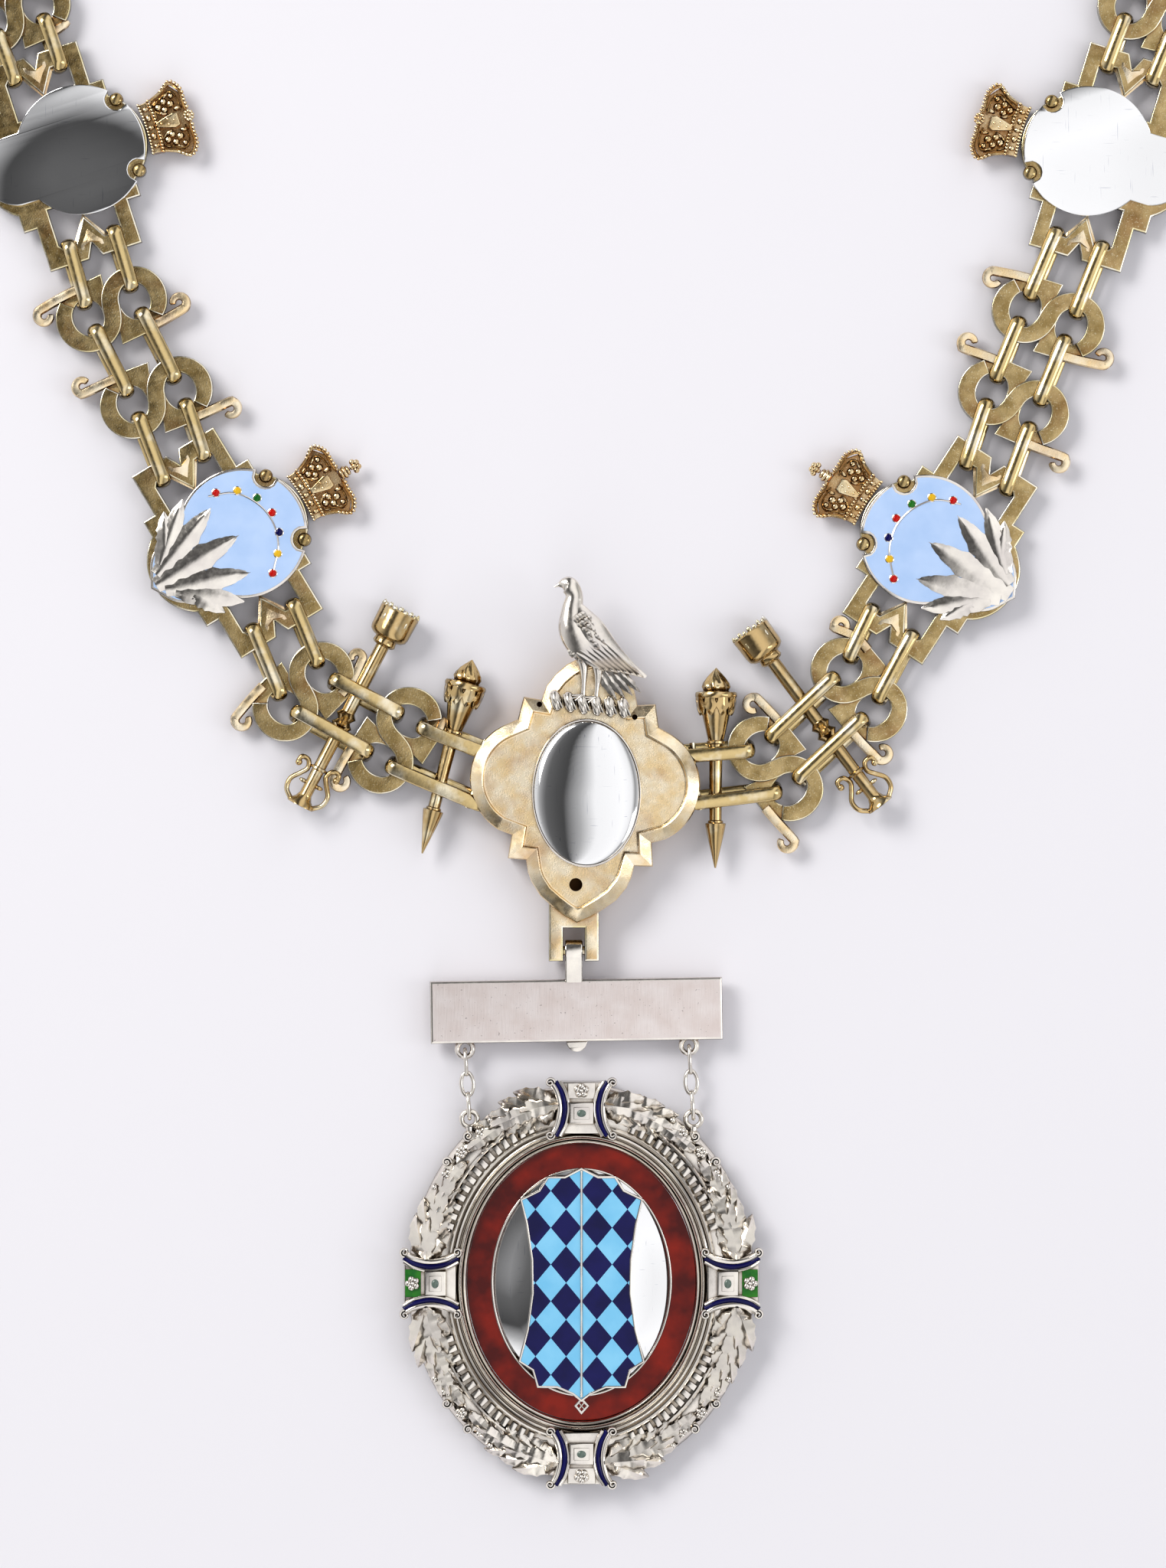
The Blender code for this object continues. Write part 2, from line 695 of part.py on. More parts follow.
def make_plaque(ring_ends):
    turn = place(0.0, 0.0, PLAQUE_TURN)
    body = flat_solid("plaque", [plaque_outline()], 0.0, PLAQUE_TOP)
    bevel_rim(body, PLAQUE_BEVEL)
    body = solid_from(body, turn)
    cutters, bars = plaque_slots(ring_ends)
    body = combine(body, cutters, "DIFFERENCE")
    low = (-BRACKET_OUT, -BRACKET_END, PIN_HEIGHT - BRACKET_THICK / 2)
    high = (BRACKET_OUT, -PLAQUE_TIP_DOWN + 6.0, PIN_HEIGHT + BRACKET_THICK / 2)
    bracket = box_solid("bracket", low, high, bevel=0.4)
    gap_low = (-BRACKET_IN, -BRACKET_END - 1.0, 0.0)
    gap_high = (BRACKET_IN, -PLAQUE_TIP_DOWN - 1.0, PLAQUE_TOP)
    bracket = combine(bracket, [box_solid("gap", gap_low, gap_high)], "DIFFERENCE")
    across = place(0.0, PIN_Y, 0.0, PIN_HEIGHT) @ Matrix.Rotation(math.radians(90), 4, "Y")
    reach = (BRACKET_IN + BRACKET_OUT) / 2
    pin = turned_solid("pin", ((reach, PIN_RADIUS), (-reach, PIN_RADIUS)), 10, across)
    bracket = combine(bracket, [pin])
    bracket.data.transform(place(BRACKET_X, 0.0, 0.0))
    return combine(body, bars + [bracket])


def dome(name, wide, tall, thick, floor, sides, matrix):
    """A low oval dome with a flat back."""
    profile = ((1.0, 0.25), (0.93, 0.55), (0.72, 0.8), (0.4, 0.95), (0.0, 1.0))
    scaled = [(height * thick, radius * tall / 2) for height, radius in profile]
    squeeze = Matrix.Diagonal((wide / tall, 1.0, 1.0, 1.0))
    return turned_solid(name, scaled, sides, matrix @ place(0, 0, 0, floor) @ squeeze)


def make_bird():
    """A standing bird seen from its side, on a twisted roll of cloth."""
    floor = PLAQUE_TOP + GAP
    middle = floor + 2.0
    body = [
        (-5.9, 40.4, 0.25), (-4.6, 40.6, 0.8), (-2.9, 40.0, 1.75), (-2.0, 37.6, 1.75),
        (-2.6, 34.0, 2.4), (-2.0, 30.6, 3.0), (0.6, 27.4, 2.9), (4.8, 24.9, 2.0),
        (9.4, 22.9, 1.1), (12.8, 21.9, 0.3),
    ]
    points = [(x, y, middle) for x, y, radius in body]
    radii = [radius for x, y, radius in body]
    bird = tube_solid("bird", points, 1.0, radii=radii)
    squash = Matrix.Translation((0, 0, middle * MM)) @ Matrix.Diagonal((1.0, 1.0, 0.62, 1.0))
    bird.data.transform(squash @ Matrix.Translation((0, 0, -middle * MM)))
    extras = []
    for top, foot in (((-0.8, 26.6), (-0.4, 17.0)), ((2.0, 25.4), (2.2, 16.8))):
        path = [(top[0], top[1], middle), (foot[0], foot[1], middle)]
        extras.append(tube_solid("leg", path, 0.9, radii=[1.5, 0.8]))
    path = [(4.6, 25.0, middle), (10.8, 18.6, middle)]
    extras.append(tube_solid("tail", path, 1.0, radii=[1.4, 1.0]))
    roll = [(-7.4, 17.2, 0.9), (-6.0, 17.2, 1.6), (0.6, 16.4, 1.75), (7.6, 15.6, 1.6), (8.8, 15.4, 0.9)]
    points = [(x, y, floor + 1.3) for x, y, radius in roll]
    extras.append(tube_solid("roll", points, 1.0, radii=[radius for x, y, radius in roll], scale=(1, 1, 1)))
    bird = combine(bird, extras)
    lowest = min(vertex.co.z for vertex in bird.data.vertices)
    bird.data.transform(Matrix.Translation((0, 0, floor * MM - lowest)))
    return bird


def flat_eye(name, x, y, z, sides=8):
    """A small ring soldered on flat, for a chain link to hang from."""
    points = [(x + px, y + py, z) for px, py in ellipse(EYE_RADIUS, EYE_RADIUS, sides)]
    return tube_solid(name, points, EYE_WIRE, closed=True)


def make_name_bar():
    """A plain bar with a hanger loop above and two eyes below."""
    turn = place(BAR_CENTRE[0], BAR_CENTRE[1], BAR_TURN, BAR_MIDDLE)
    low = (-BAR_LONG / 2, -BAR_TALL / 2, -BAR_THICK / 2)
    high = (BAR_LONG / 2, BAR_TALL / 2, BAR_THICK / 2)
    bar = box_solid("name_bar", low, high, turn, bevel=0.5)
    extras = []
    for sign in (1, -1):
        eye = flat_eye("eye", sign * EYE_SPACING / 2, -BAR_TALL / 2 - EYE_RADIUS * 0.75, 0.0)
        eye.data.transform(turn)
        extras.append(eye)
    bar_top = BAR_CENTRE[1] + BAR_TALL / 2
    loop = arc((PIN_HEIGHT, PIN_Y), HANGER_RADIUS, -HANGER_DIP, 180 + HANGER_DIP, 10)
    foot = [(PIN_HEIGHT + HANGER_RADIUS * share, bar_top - 0.6) for share in (-0.9, 0.55)]
    hole = ellipse(PIN_RADIUS + 0.4, PIN_RADIUS + 0.4, 10, (PIN_HEIGHT, PIN_Y))
    hanger = flat_solid("hanger", [loop + foot, hole], -HANGER_WIDE / 2, HANGER_WIDE / 2)
    stand = Matrix(((0, 0, 1, 0), (0, 1, 0, 0), (1, 0, 0, 0), (0, 0, 0, 1)))
    hanger.data.transform(stand)
    hanger.data.transform(place(BRACKET_X, 0.0, 0.0))
    clean_mesh(hanger.data, Matrix())
    extras.append(hanger)
    return combine(bar, extras)


def eye_places(side):
    """Plan places of the bar's eye and the badge's eye on one side."""
    turn = place(BAR_CENTRE[0], BAR_CENTRE[1], BAR_TURN)
    local = Vector((side * EYE_SPACING / 2 * MM, (-BAR_TALL / 2 - EYE_RADIUS * 0.75) * MM, 0.0))
    upper = (turn @ local) / MM
    lower = Vector((BADGE_CENTRE[0] + side * EYE_SPACING / 2, BADGE_CENTRE[1] + BADGE_EYE_UP, 0.0))
    return upper.xy, lower.xy


def make_side_chain(name, side):
    """Three small links fused where they cross, between two soldered eyes."""
    upper, lower = eye_places(side)
    run = lower - upper
    heading = math.degrees(math.atan2(run.y, run.x))
    start = -run.length / 2 + EYE_RADIUS - EYE_WIRE - CHAIN_WIRE * 2 - GAP * 0.6
    end = -start
    middle_half = CHAIN_LINK_LONG / 2 - CHAIN_WIRE
    overlap = CHAIN_WIRE * 1.2
    solids = []
    half_wide = CHAIN_LINK_WIDE / 2 - CHAIN_WIRE
    flat = [(x, y, 0.0) for x, y in ellipse(middle_half, half_wide, FINE_SIDES)]
    solids.append(tube_solid("link", flat, CHAIN_WIRE, closed=True))
    for near, far in ((start, -middle_half + overlap), (middle_half - overlap, end)):
        half = (far - near) / 2
        centre = (far + near) / 2
        oval_link = ellipse(half, half_wide, FINE_SIDES, (centre, 0.0))
        upright = [(x, 0.0, z) for x, z in oval_link]
        solids.append(tube_solid("link", upright, CHAIN_WIRE, closed=True))
    chain = combine(solids[0], solids[1:])
    chain.name = name
    centre = (upper + lower) / 2
    chain.data.transform(place(centre.x, centre.y, heading, BAR_MIDDLE))
    return chain


def badge_shell():
    """Wreath and mouldings swept round an ellipse, with a floor inside them."""
    profile = [
        (BADGE_RIM_WIDE - 0.8, 0.0), (BADGE_RIM_WIDE, 2.8), (BADGE_RIM_WIDE - 2.4, BADGE_RIM_TALL),
        (BADGE_RIM_WIDE - 5.6, BADGE_RIM_TALL), (BADGE_RIM_WIDE - 8.2, 5.0), (2.2, 5.6), (0.0, 4.2),
        (0.0, DISH_TOP),
    ]
    count = OVAL_SIDES
    work = bmesh.new()
    loops = []
    for index in range(count):
        angle = math.tau * index / count
        x, y = BADGE_INNER[0] * math.cos(angle), BADGE_INNER[1] * math.sin(angle)
        outward = Vector((math.cos(angle) / BADGE_INNER[0], math.sin(angle) / BADGE_INNER[1])).normalized()
        loop = []
        for out, height in profile:
            spot = (x + outward.x * out, y + outward.y * out, height)
            loop.append(work.verts.new([value * MM for value in spot]))
        loops.append(loop)
    for index in range(count):
        following = loops[(index + 1) % count]
        for step in range(len(profile) - 1):
            corners = (loops[index][step], loops[index][step + 1], following[step + 1], following[step])
            work.faces.new(corners)
    work.faces.new([loop[0] for loop in loops])
    work.faces.new([loop[-1] for loop in loops])
    bmesh.ops.recalc_face_normals(work, faces=work.faces)
    mesh = bpy.data.meshes.new("badge_body")
    work.to_mesh(mesh)
    work.free()
    shell = bpy.data.objects.new("badge_body", mesh)
    bpy.context.scene.collection.objects.link(shell)
    return shell


def make_badge_body():
    body = badge_shell()
    extras = []
    for angle in (0, 90, 180, 270):
        reach = BADGE_INNER[1] if angle in (90, 270) else BADGE_INNER[0]
        low = (reach + BADGE_RIM_WIDE + 0.4 - STRAP_LONG, -STRAP_WIDE / 2, 0.15)
        high = (reach + BADGE_RIM_WIDE + 0.4, STRAP_WIDE / 2, STRAP_TALL)
        extras.append(box_solid("strap", low, high, place(0, 0, angle)))
    for side in (1, -1):
        spot = (side * EYE_SPACING / 2, BADGE_EYE_UP)
        extras.append(flat_eye("eye", spot[0], spot[1], BAR_MIDDLE))
        x, y = spot
        path = [(x, y - EYE_RADIUS, BAR_MIDDLE), (x - side * 0.6, y - 6.5, BAR_MIDDLE)]
        extras.append(tube_solid("post", path, 0.8))
    body = combine(body, extras)
    body.data.transform(place(BADGE_CENTRE[0], BADGE_CENTRE[1], 0.0))
    return body


def shield_half():
    """Left half of the shield, from its upper point to its lower point."""
    return [
        (0.0, 22.6), (-3.3, 20.9), (-6.7, 20.9), (-8.4, 18.2), (-12.1, 16.4), (-10.9, 11.5),
        (-9.9, 4.5), (-9.8, -2.0), (-10.7, -9.0), (-12.4, -15.5), (-9.7, -17.2), (-8.7, -20.6),
        (-4.8, -20.6), (-1.8, -21.9), (0.0, -23.3),
    ]


def make_shield(floor):
    half = shield_half()
    outline = half + mirrored(half[1:-1])
    matrix = place(BADGE_CENTRE[0], BADGE_CENTRE[1], 0.0)
    shield = flat_solid("shield", [outline], floor, floor + SHIELD_THICK, matrix)
    posts = []
    for sign in (1, -1):
        profile = ((floor + 0.3, SHIELD_POST_RADIUS), (DISH_TOP + GAP, SHIELD_POST_RADIUS))
        spot = matrix @ place(0.0, sign * SHIELD_POST_APART / 2, 0.0)
        posts.append(turned_solid("post", profile, 8, spot))
    return combine(shield, posts)


def back_links():
    """Links behind the neck on the left, on a circle to the loop's top."""
    last = Vector(LINK_PLACES[6][2:4])
    lean = math.radians(LINK_PLACES[6][4])
    radius = -last.x / math.cos(lean)
    centre = Vector((0.0, last.y + radius * math.sin(lean)))
    total = sum(pitch for kind, pitch in BACK_PITCHES)
    sweep = math.pi / 2 + lean
    links = []
    run = 0.0
    numbers = {"S": 5, "F": 2}
    words = {"S": "s_link", "F": "frame"}
    for kind, pitch in BACK_PITCHES:
        run += pitch
        angle = math.pi + lean - sweep * run / total
        spot = centre + Vector((math.cos(angle), math.sin(angle))) * radius
        numbers[kind] += 1
        turn = math.degrees(angle) - 180
        name = f"{words[kind]}_left_{numbers[kind]}"
        links.append((name, kind, spot.x, spot.y, turn))
    links[-1] = ("frame_back", "F", 0.0, centre.y + radius, -90.0)
    return links


def all_links():
    """Every link of the loop, in order from the plaque's left round to its right."""
    def entry(name, kind, x, y, turn, side, count):
        spot = Vector((x, y))
        return {"name": name, "kind": kind, "place": spot, "turn": turn, "side": side, "count": count}

    def detail(name):
        return PLAIN_SIDES if name.endswith("5") else FINE_SIDES

    left = [entry(*row, 1, detail(row[0])) for row in LINK_PLACES[:7]]
    right = [entry(*row, -1, detail(row[0])) for row in LINK_PLACES[7:]]
    hidden = back_links()
    back = [entry(*row, 1, PLAIN_SIDES) for row in hidden]
    other = []
    for name, kind, x, y, turn in hidden[:-1]:
        other.append(entry(name.replace("left", "right"), kind, -x, y, -turn, -1, PLAIN_SIDES))
    return left + back + list(reversed(other)) + list(reversed(right))


def same_side(first, second):
    """Sign that keeps a ring on the same side of the chain at both links."""
    a, b = math.radians(first["turn"]), math.radians(second["turn"])
    return 1 if math.cos(a - b) >= 0 else -1


clear_scene()
PARTS = bpy.data.collections.new("mayoral_chain_of_office")
bpy.context.scene.collection.children.link(PARTS)

GILT = make_material("silver_gilt", (0.62, 0.52, 0.30), 0.35, 1.0)
SILVER = make_material("silver", (0.86, 0.85, 0.82), 0.2, 1.0)
SKY_ENAMEL = make_material("sky_enamel", (0.36, 0.52, 0.82), 0.15, 0.0)
RED_ENAMEL = make_material("red_enamel", (0.28, 0.01, 0.0), 0.12, 0.0)
BLUE_ENAMEL = make_material("blue_enamel", (0.02, 0.03, 0.25), 0.12, 0.0)

LINKS = all_links()
FRONT_COUNT = 6
FRONT = LINKS[:FRONT_COUNT] + LINKS[-FRONT_COUNT:]
CROSSED = ("frame_left_1", "frame_right_1")

# Plan places of the long rings' inner ends under the plaque, and the hole
# of the nearest S-shaped link that each one runs from
PLAQUE_RINGS = (
    ("ring_left_0_upper", LINKS[0], 1, (4.2 - PLAQUE_HALF_WIDE, 7.1)),
    ("ring_left_0_lower", LINKS[0], -1, (2.0 - PLAQUE_HALF_WIDE, -2.5)),
    ("ring_right_0_upper", LINKS[-1], -1, (PLAQUE_HALF_WIDE - 3.1, 7.0)),
    ("ring_right_0_lower", LINKS[-1], 1, (PLAQUE_HALF_WIDE - 2.0, -2.3)),
)

# Top and foot of each mace and torch in the plan
RODS = (
    ("mace_left", MACE_PROFILE, (-35.9, 35.1), (-56.0, -3.6), True),
    ("mace_right", MACE_PROFILE, (32.2, 31.3), (58.0, -3.2), True),
    ("torch_left", TORCH_PROFILE, (-22.0, 25.4), (-31.9, -12.9), False),
    ("torch_right", TORCH_PROFILE, (25.8, 23.8), (25.6, -15.6), False),
)

ring_ends = []
for name, link, sign, inner_end in PLAQUE_RINGS:
    solid, end = plaque_ring(link, sign, inner_end)
    ring_ends.append(end)
    finish(solid, name, GILT, smooth=True)

finish(make_plaque(ring_ends), "plaque", GILT)
oval_floor = PLAQUE_TOP + GAP
oval_place = place(0.4, -0.7, 0.0)
oval = dome("plaque_oval", OVAL_WIDE, OVAL_TALL, OVAL_THICK, oval_floor, OVAL_SIDES, oval_place)
finish(oval, "plaque_oval", SILVER, smooth=True)
finish(make_bird(), "bird", SILVER, smooth=True)

for link in FRONT:
    if link["kind"] == "S":
        finish(s_link(link), link["name"], GILT)
    else:
        finish(frame_link(link, link["name"] in CROSSED), link["name"], GILT)
        colour = SKY_ENAMEL if link["name"] in CROSSED else SILVER
        finish(plate(link, GAP), link["name"].replace("frame", "plate"), colour)

for side, first_index, step in (("left", 0, 1), ("right", len(LINKS) - 1, -1)):
    for number in range(1, FRONT_COUNT):
        first = LINKS[first_index + step * (number - 1)]
        second = LINKS[first_index + step * number]
        height = LONG_RING_TALL if number == 1 else RING_TALL
        for word, sign in (("inner", 1), ("outer", -1)):
            name = f"ring_{side}_{number}_{word}"
            sign = sign * first["side"]
            solid = ring_between(name, first, second, (sign, sign), height, FINE_SIDES)
            finish(solid, name, GILT, smooth=True)


def back_chain(front_link, links, next_link):
    """Links behind the neck with their rings soldered in, as one solid.

    The rings that run to front_link and next_link are loose at those two.
    """
    solids = []
    for link in links:
        solids.append(s_link(link) if link["kind"] == "S" else frame_link(link, False))
    chain = [front_link] + links + ([next_link] if next_link else [])
    for first, second in zip(chain, chain[1:]):
        loose = [link is front_link or link is next_link for link in (first, second)]
        count = HALF_LOOSE_SIDES if any(loose) else PLAIN_SIDES
        for sign in (1, -1):
            signs = (sign, sign * same_side(first, second))
            solids.append(ring_between("ring", first, second, signs, RING_TALL, count, loose))
    return combine(solids[0], solids[1:], solver="MANIFOLD")


LAST = FRONT_COUNT - 1
MIDDLE = len(LINKS) // 2
left_back = back_chain(LINKS[LAST], LINKS[LAST + 1:MIDDLE + 1], None)
finish(left_back, "back_chain_left", GILT)
right_links = list(reversed(LINKS[MIDDLE + 1:-FRONT_COUNT]))
right_back = back_chain(LINKS[-FRONT_COUNT], right_links, LINKS[MIDDLE])
finish(right_back, "back_chain_right", GILT)
for link in LINKS[FRONT_COUNT:-FRONT_COUNT]:
    if link["kind"] == "F":
        finish(plate(link, GAP), link["name"].replace("frame", "plate"), SKY_ENAMEL)


for name, profile, top, foot, scrolls in RODS:
    finish(rod(name, profile, top, foot, scrolls), name, GILT, smooth=True)

finish(make_name_bar(), "name_bar", SILVER)
finish(make_side_chain("side_chain_left", -1), "side_chain_left", SILVER, smooth=True)
finish(make_side_chain("side_chain_right", 1), "side_chain_right", SILVER, smooth=True)
finish(make_badge_body(), "badge_body", SILVER)

CENTRE = place(BADGE_CENTRE[0], BADGE_CENTRE[1], 0.0)
ENAMEL_TOP = DISH_TOP + GAP + ENAMEL_THICK
inside = [half - GAP * 1.6 for half in BADGE_INNER]
window = [half - ENAMEL_WIDE for half in inside]
band = [ellipse(*inside, OVAL_SIDES), ellipse(*window, OVAL_SIDES)]
finish(flat_solid("enamel_band", band, DISH_TOP + GAP, ENAMEL_TOP, CENTRE), "enamel_band", RED_ENAMEL)
finish(make_shield(ENAMEL_TOP + GAP), "shield", BLUE_ENAMEL)
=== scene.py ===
# %% [markdown]
# A mayoral chain of office, lying on its back. The construction model gives every piece its
# place and size. This script gives each one its look: sand-blasted silver-gilt links, polished
# rings, cast crowns, a badge of chased silver with vitreous enamel. Each piece could be dressed
# by a better material alone, but its edges would stay faceted. So each is modelled again over
# its solid, from the same sizes, with rounded edges and the small relief of the real casting.

# %% Load the frame
import math
import random

import bmesh
import bpy
from mathutils import Matrix, Vector


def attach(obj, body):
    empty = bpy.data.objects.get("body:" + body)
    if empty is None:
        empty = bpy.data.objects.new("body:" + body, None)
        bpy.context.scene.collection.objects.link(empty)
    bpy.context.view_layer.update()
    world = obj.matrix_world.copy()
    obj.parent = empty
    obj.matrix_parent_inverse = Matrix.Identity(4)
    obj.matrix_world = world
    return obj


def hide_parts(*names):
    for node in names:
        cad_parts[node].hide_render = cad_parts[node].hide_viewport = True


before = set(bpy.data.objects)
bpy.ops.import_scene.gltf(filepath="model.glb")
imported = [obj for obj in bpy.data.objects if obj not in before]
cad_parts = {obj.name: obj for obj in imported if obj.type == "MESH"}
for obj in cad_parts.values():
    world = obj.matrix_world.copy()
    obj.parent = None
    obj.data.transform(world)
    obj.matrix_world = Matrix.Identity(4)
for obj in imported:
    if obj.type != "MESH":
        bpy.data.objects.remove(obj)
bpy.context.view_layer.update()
print("the frame has", len(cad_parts), "nodes")

# %% [markdown]
# Everything below is in millimetres, with Y towards the neck and Z up, and MM turns it into
# metres at the end. The sizes are those of the construction model. The route of the chain is
# its own short list, because how links happen to lie follows no rule.

# %% Sizes
MM = 0.001
GAP = 0.3
WIRE_THICK = 1.5
WIRE_WIDE = 2.3
RING_WIDE = 2.75
RING_TALL = 6.0
LONG_RING_TALL = 7.4
RING_PLAY = 0.5
LINK_FLOOR = 2.0
LINK_TOP = 4.0
HOLE_WIDE = 6.0
HOLE_LONG = 7.2
HOLE_SPACING = 9.7
FRAME_LONG = 41.6
FRAME_END_BAR = 3.6
FRAME_RING_SPACING = 9.3
PLATE_OFFSET = 3.6
PLATE_RADIUS = 12.75
STUD_CIRCLE = 12.1
STUD_ANGLE = 37.0
STUD_RADIUS = 1.7
PLATE_FLOOR = LINK_TOP + GAP
PLATE_TOP = PLATE_FLOOR + 1.2
PLAQUE_TOP = 9.0
ROD_HEIGHT = 4.2
BADGE = Vector((-0.6, -96.6))
INNER_WIDE = 22.5
INNER_TALL = 27.2
BAR_MIDDLE = 3.6

LINK_PLACES = (
    ("s_link_left_1", "S", -37.2, 9.6, 51.6),
    ("s_link_left_2", "S", -55.1, 19.2, 40.0),
    ("frame_left_1", "F", -70.0, 48.3, 31.2),
    ("s_link_left_3", "S", -83.9, 76.8, 16.3),
    ("s_link_left_4", "S", -92.7, 94.1, 20.3),
    ("frame_left_2", "F", -102.1, 124.1, 18.0),
    ("s_link_left_5", "S", -111.7, 152.1, 18.5),
    ("s_link_right_1", "S", 37.4, 4.1, -56.3),
    ("s_link_right_2", "S", 53.8, 19.5, -55.0),
    ("frame_right_1", "F", 69.7, 46.9, -33.1),
    ("s_link_right_3", "S", 84.1, 75.8, -28.3),
    ("s_link_right_4", "S", 90.9, 92.4, -21.5),
    ("frame_right_2", "F", 102.1, 123.9, -16.9),
    ("s_link_right_5", "S", 111.7, 152.1, -18.5),
)
BACK_PITCHES = (
    ("S", 19.2), ("F", 31.8), ("S", 31.8), ("S", 19.2),
    ("F", 31.8), ("S", 31.8), ("S", 19.2), ("F", 31.8),
)
TAILS = {
    "s_link_left_1": ("up", "stub"),
    "s_link_left_2": ("up", "high"),
    "s_link_left_3": ("down", "down"),
    "s_link_left_4": ("up", "up"),
    "s_link_right_1": ("up", "down"),
    "s_link_right_2": ("near", "up"),
    "s_link_right_3": ("down", "down"),
    "s_link_right_4": ("up", "up"),
}

# %% [markdown]
# Colours are written as on a screen, in sRGB, and one function turns them into the linear
# values that the shaders want. One more function adds a node with its settings and links,
# so that each material below reads as a short recipe.

# %% Colours and nodes
def colour(code):
    """An sRGB hex colour as linear RGBA."""
    parts = [int(code[index:index + 2], 16) / 255 for index in (1, 3, 5)]
    linear = [part / 12.92 if part <= 0.04045 else ((part + 0.055) / 1.055) ** 2.4 for part in parts]
    return (*linear, 1.0)


def add(tree, kind, sockets=None, **settings):
    """Adds a node; a socket's value is a number, a colour or another node's output."""
    made = tree.nodes.new(kind)
    for name, value in settings.items():
        setattr(made, name, value)
    for name, value in (sockets or {}).items():
        if isinstance(value, bpy.types.NodeSocket):
            tree.links.new(value, made.inputs[name])
        else:
            made.inputs[name].default_value = value
    return made


def material(name, base, metallic, roughness):
    """A named material with its uniform values set on the shader itself."""
    made = bpy.data.materials.new(name)
    made.use_nodes = True
    made.diffuse_color = colour(base)
    shader = made.node_tree.nodes["Principled BSDF"]
    shader.inputs["Base Color"].default_value = colour(base)
    shader.inputs["Metallic"].default_value = metallic
    shader.inputs["Roughness"].default_value = roughness
    return made, made.node_tree, shader


def feed(tree, shader, body, rough=None):
    """Wires a colour into the shader, and a roughness if there is one."""
    tree.links.new(body, shader.inputs["Base Color"])
    if rough is not None:
        tree.links.new(rough, shader.inputs["Roughness"])


def cloud(tree, size, detail=4.0, stretch=None):
    """Soft noise whose blots are about this many millimetres wide."""
    at = add(tree, "ShaderNodeTexCoord").outputs["Object"]
    if stretch:
        at = add(tree, "ShaderNodeMapping", {"Vector": at, "Scale": stretch}).outputs["Vector"]
    sockets = {"Vector": at, "Scale": 1 / (size * MM), "Detail": detail}
    return add(tree, "ShaderNodeTexNoise", sockets).outputs["Fac"]


def spread(tree, value, low, high, start=0.0, end=1.0):
    """Stretches a value's range from low..high to start..end."""
    sockets = {"Value": value, "From Min": low, "From Max": high, "To Min": start, "To Max": end}
    return add(tree, "ShaderNodeMapRange", sockets).outputs["Result"]


def blend_colours(tree, share, first, second):
    """A colour between two others, each a hex code or an output."""
    mix = add(tree, "ShaderNodeMix", {"Factor": share}, data_type="RGBA")
    for socket, value in ((mix.inputs[6], first), (mix.inputs[7], second)):
        if isinstance(value, str):
            socket.default_value = colour(value)
        else:
            tree.links.new(value, socket)
    return mix.outputs[2]


def hollows(tree, reach, low, high):
    """1 in hollows narrower than this many millimetres, and 0 in the open."""
    near = add(tree, "ShaderNodeAmbientOcclusion", {"Distance": reach * MM}, only_local=True, samples=8)
    return spread(tree, near.outputs["AO"], high, low)


# Painted shade: the finishes give side walls a darker colour than the faces that look up.
def unshaded_tops(tree, low=0.1, high=0.6):
    """1 on faces that look up and 0 on side walls, which are painted darker: painted shade, with some
    tarnish where cloths never reach.
    """
    normal = add(tree, "ShaderNodeNewGeometry").outputs["Normal"]
    return spread(tree, add(tree, "ShaderNodeSeparateXYZ", {"Vector": normal}).outputs["Z"], low, high)


def bump(tree, shader, height, depth, strength=1.0):
    """Bump of a depth in millimetres."""
    sockets = {"Height": height, "Distance": depth * MM, "Strength": strength}
    tree.links.new(add(tree, "ShaderNodeBump", sockets).outputs["Normal"], shader.inputs["Normal"])


# %% [markdown]
# Silver-gilt is sterling silver under a thin layer of gold. The links were sand-blasted, which
# leaves a fine grain and a soft greenish gold, and wear has polished their edges back towards
# silver. Grit of 0.1 mm is too fine to show here, so it is drawn 0.3 mm coarse. Bright points
# in that grain are painted glints, and the side walls get painted shade.

# %% Silver-gilt, sand-blasted
def make_blasted(name, dark, light, tarnish, wall_shade_and_tarnish, roughness):
    """Matte gilt: blotchy colour, warm tarnish in hollows, painted shade on side walls, grain, painted
    glints.
    """
    made, tree, shader = material(name, light, 1.0, roughness)
    blots = spread(tree, cloud(tree, 3.2), 0.36, 0.64)
    body = blend_colours(tree, blots, dark, light)
    stains = spread(tree, cloud(tree, 7.0, 2.0), 0.52, 0.74, 0.0, 0.55)
    body = blend_colours(tree, stains, body, tarnish)
    body = blend_colours(tree, hollows(tree, 1.6, 0.35, 0.9), body, tarnish)
    # Painted shade: side walls get a darker colour than the faces that look up, with some tarnish.
    body = blend_colours(tree, unshaded_tops(tree), wall_shade_and_tarnish, body)
    grain = cloud(tree, 0.3, 2.0)
    # Painted glints: where the grain is high it turns a near-white gold.
    painted_glints = spread(tree, grain, 0.6, 0.72, 0.0, 0.45)
    body = blend_colours(tree, painted_glints, body, "#f3e9c9")
    feed(tree, shader, body, spread(tree, cloud(tree, 1.4), 0.3, 0.7, roughness - 0.1, roughness + 0.1))
    bump(tree, shader, grain, 0.03, 0.55)
    return made


# Greenish gold of the flat faces, with copper-brown tarnish
GILT_FLAT = make_blasted("silver_gilt_sand_blasted", "#988050", "#c2aa78", "#875a34", "#483818", 0.21)
# Paler champagne gold of the plaque
GILT_PALE = make_blasted("silver_gilt_champagne", "#f8dcaa", "#fff0d2", "#bb8852", "#9c7842", 0.26)
# Reddish gold of the crowns, dark in the hollows
GILT_CROWN = make_blasted("silver_gilt_cast", "#d8b47c", "#f4e2b8", "#93683a", "#9a7040", 0.18)
print("three sand-blasted or cast gilt finishes")

# %% [markdown]
# Handling polishes whatever stands proud. On the edges and on the rings the gold is thin and
# shiny and lets the silver through in patches, so these get a smooth surface, a little uneven
# as hand-drawn wire is, and two colours that run into each other.

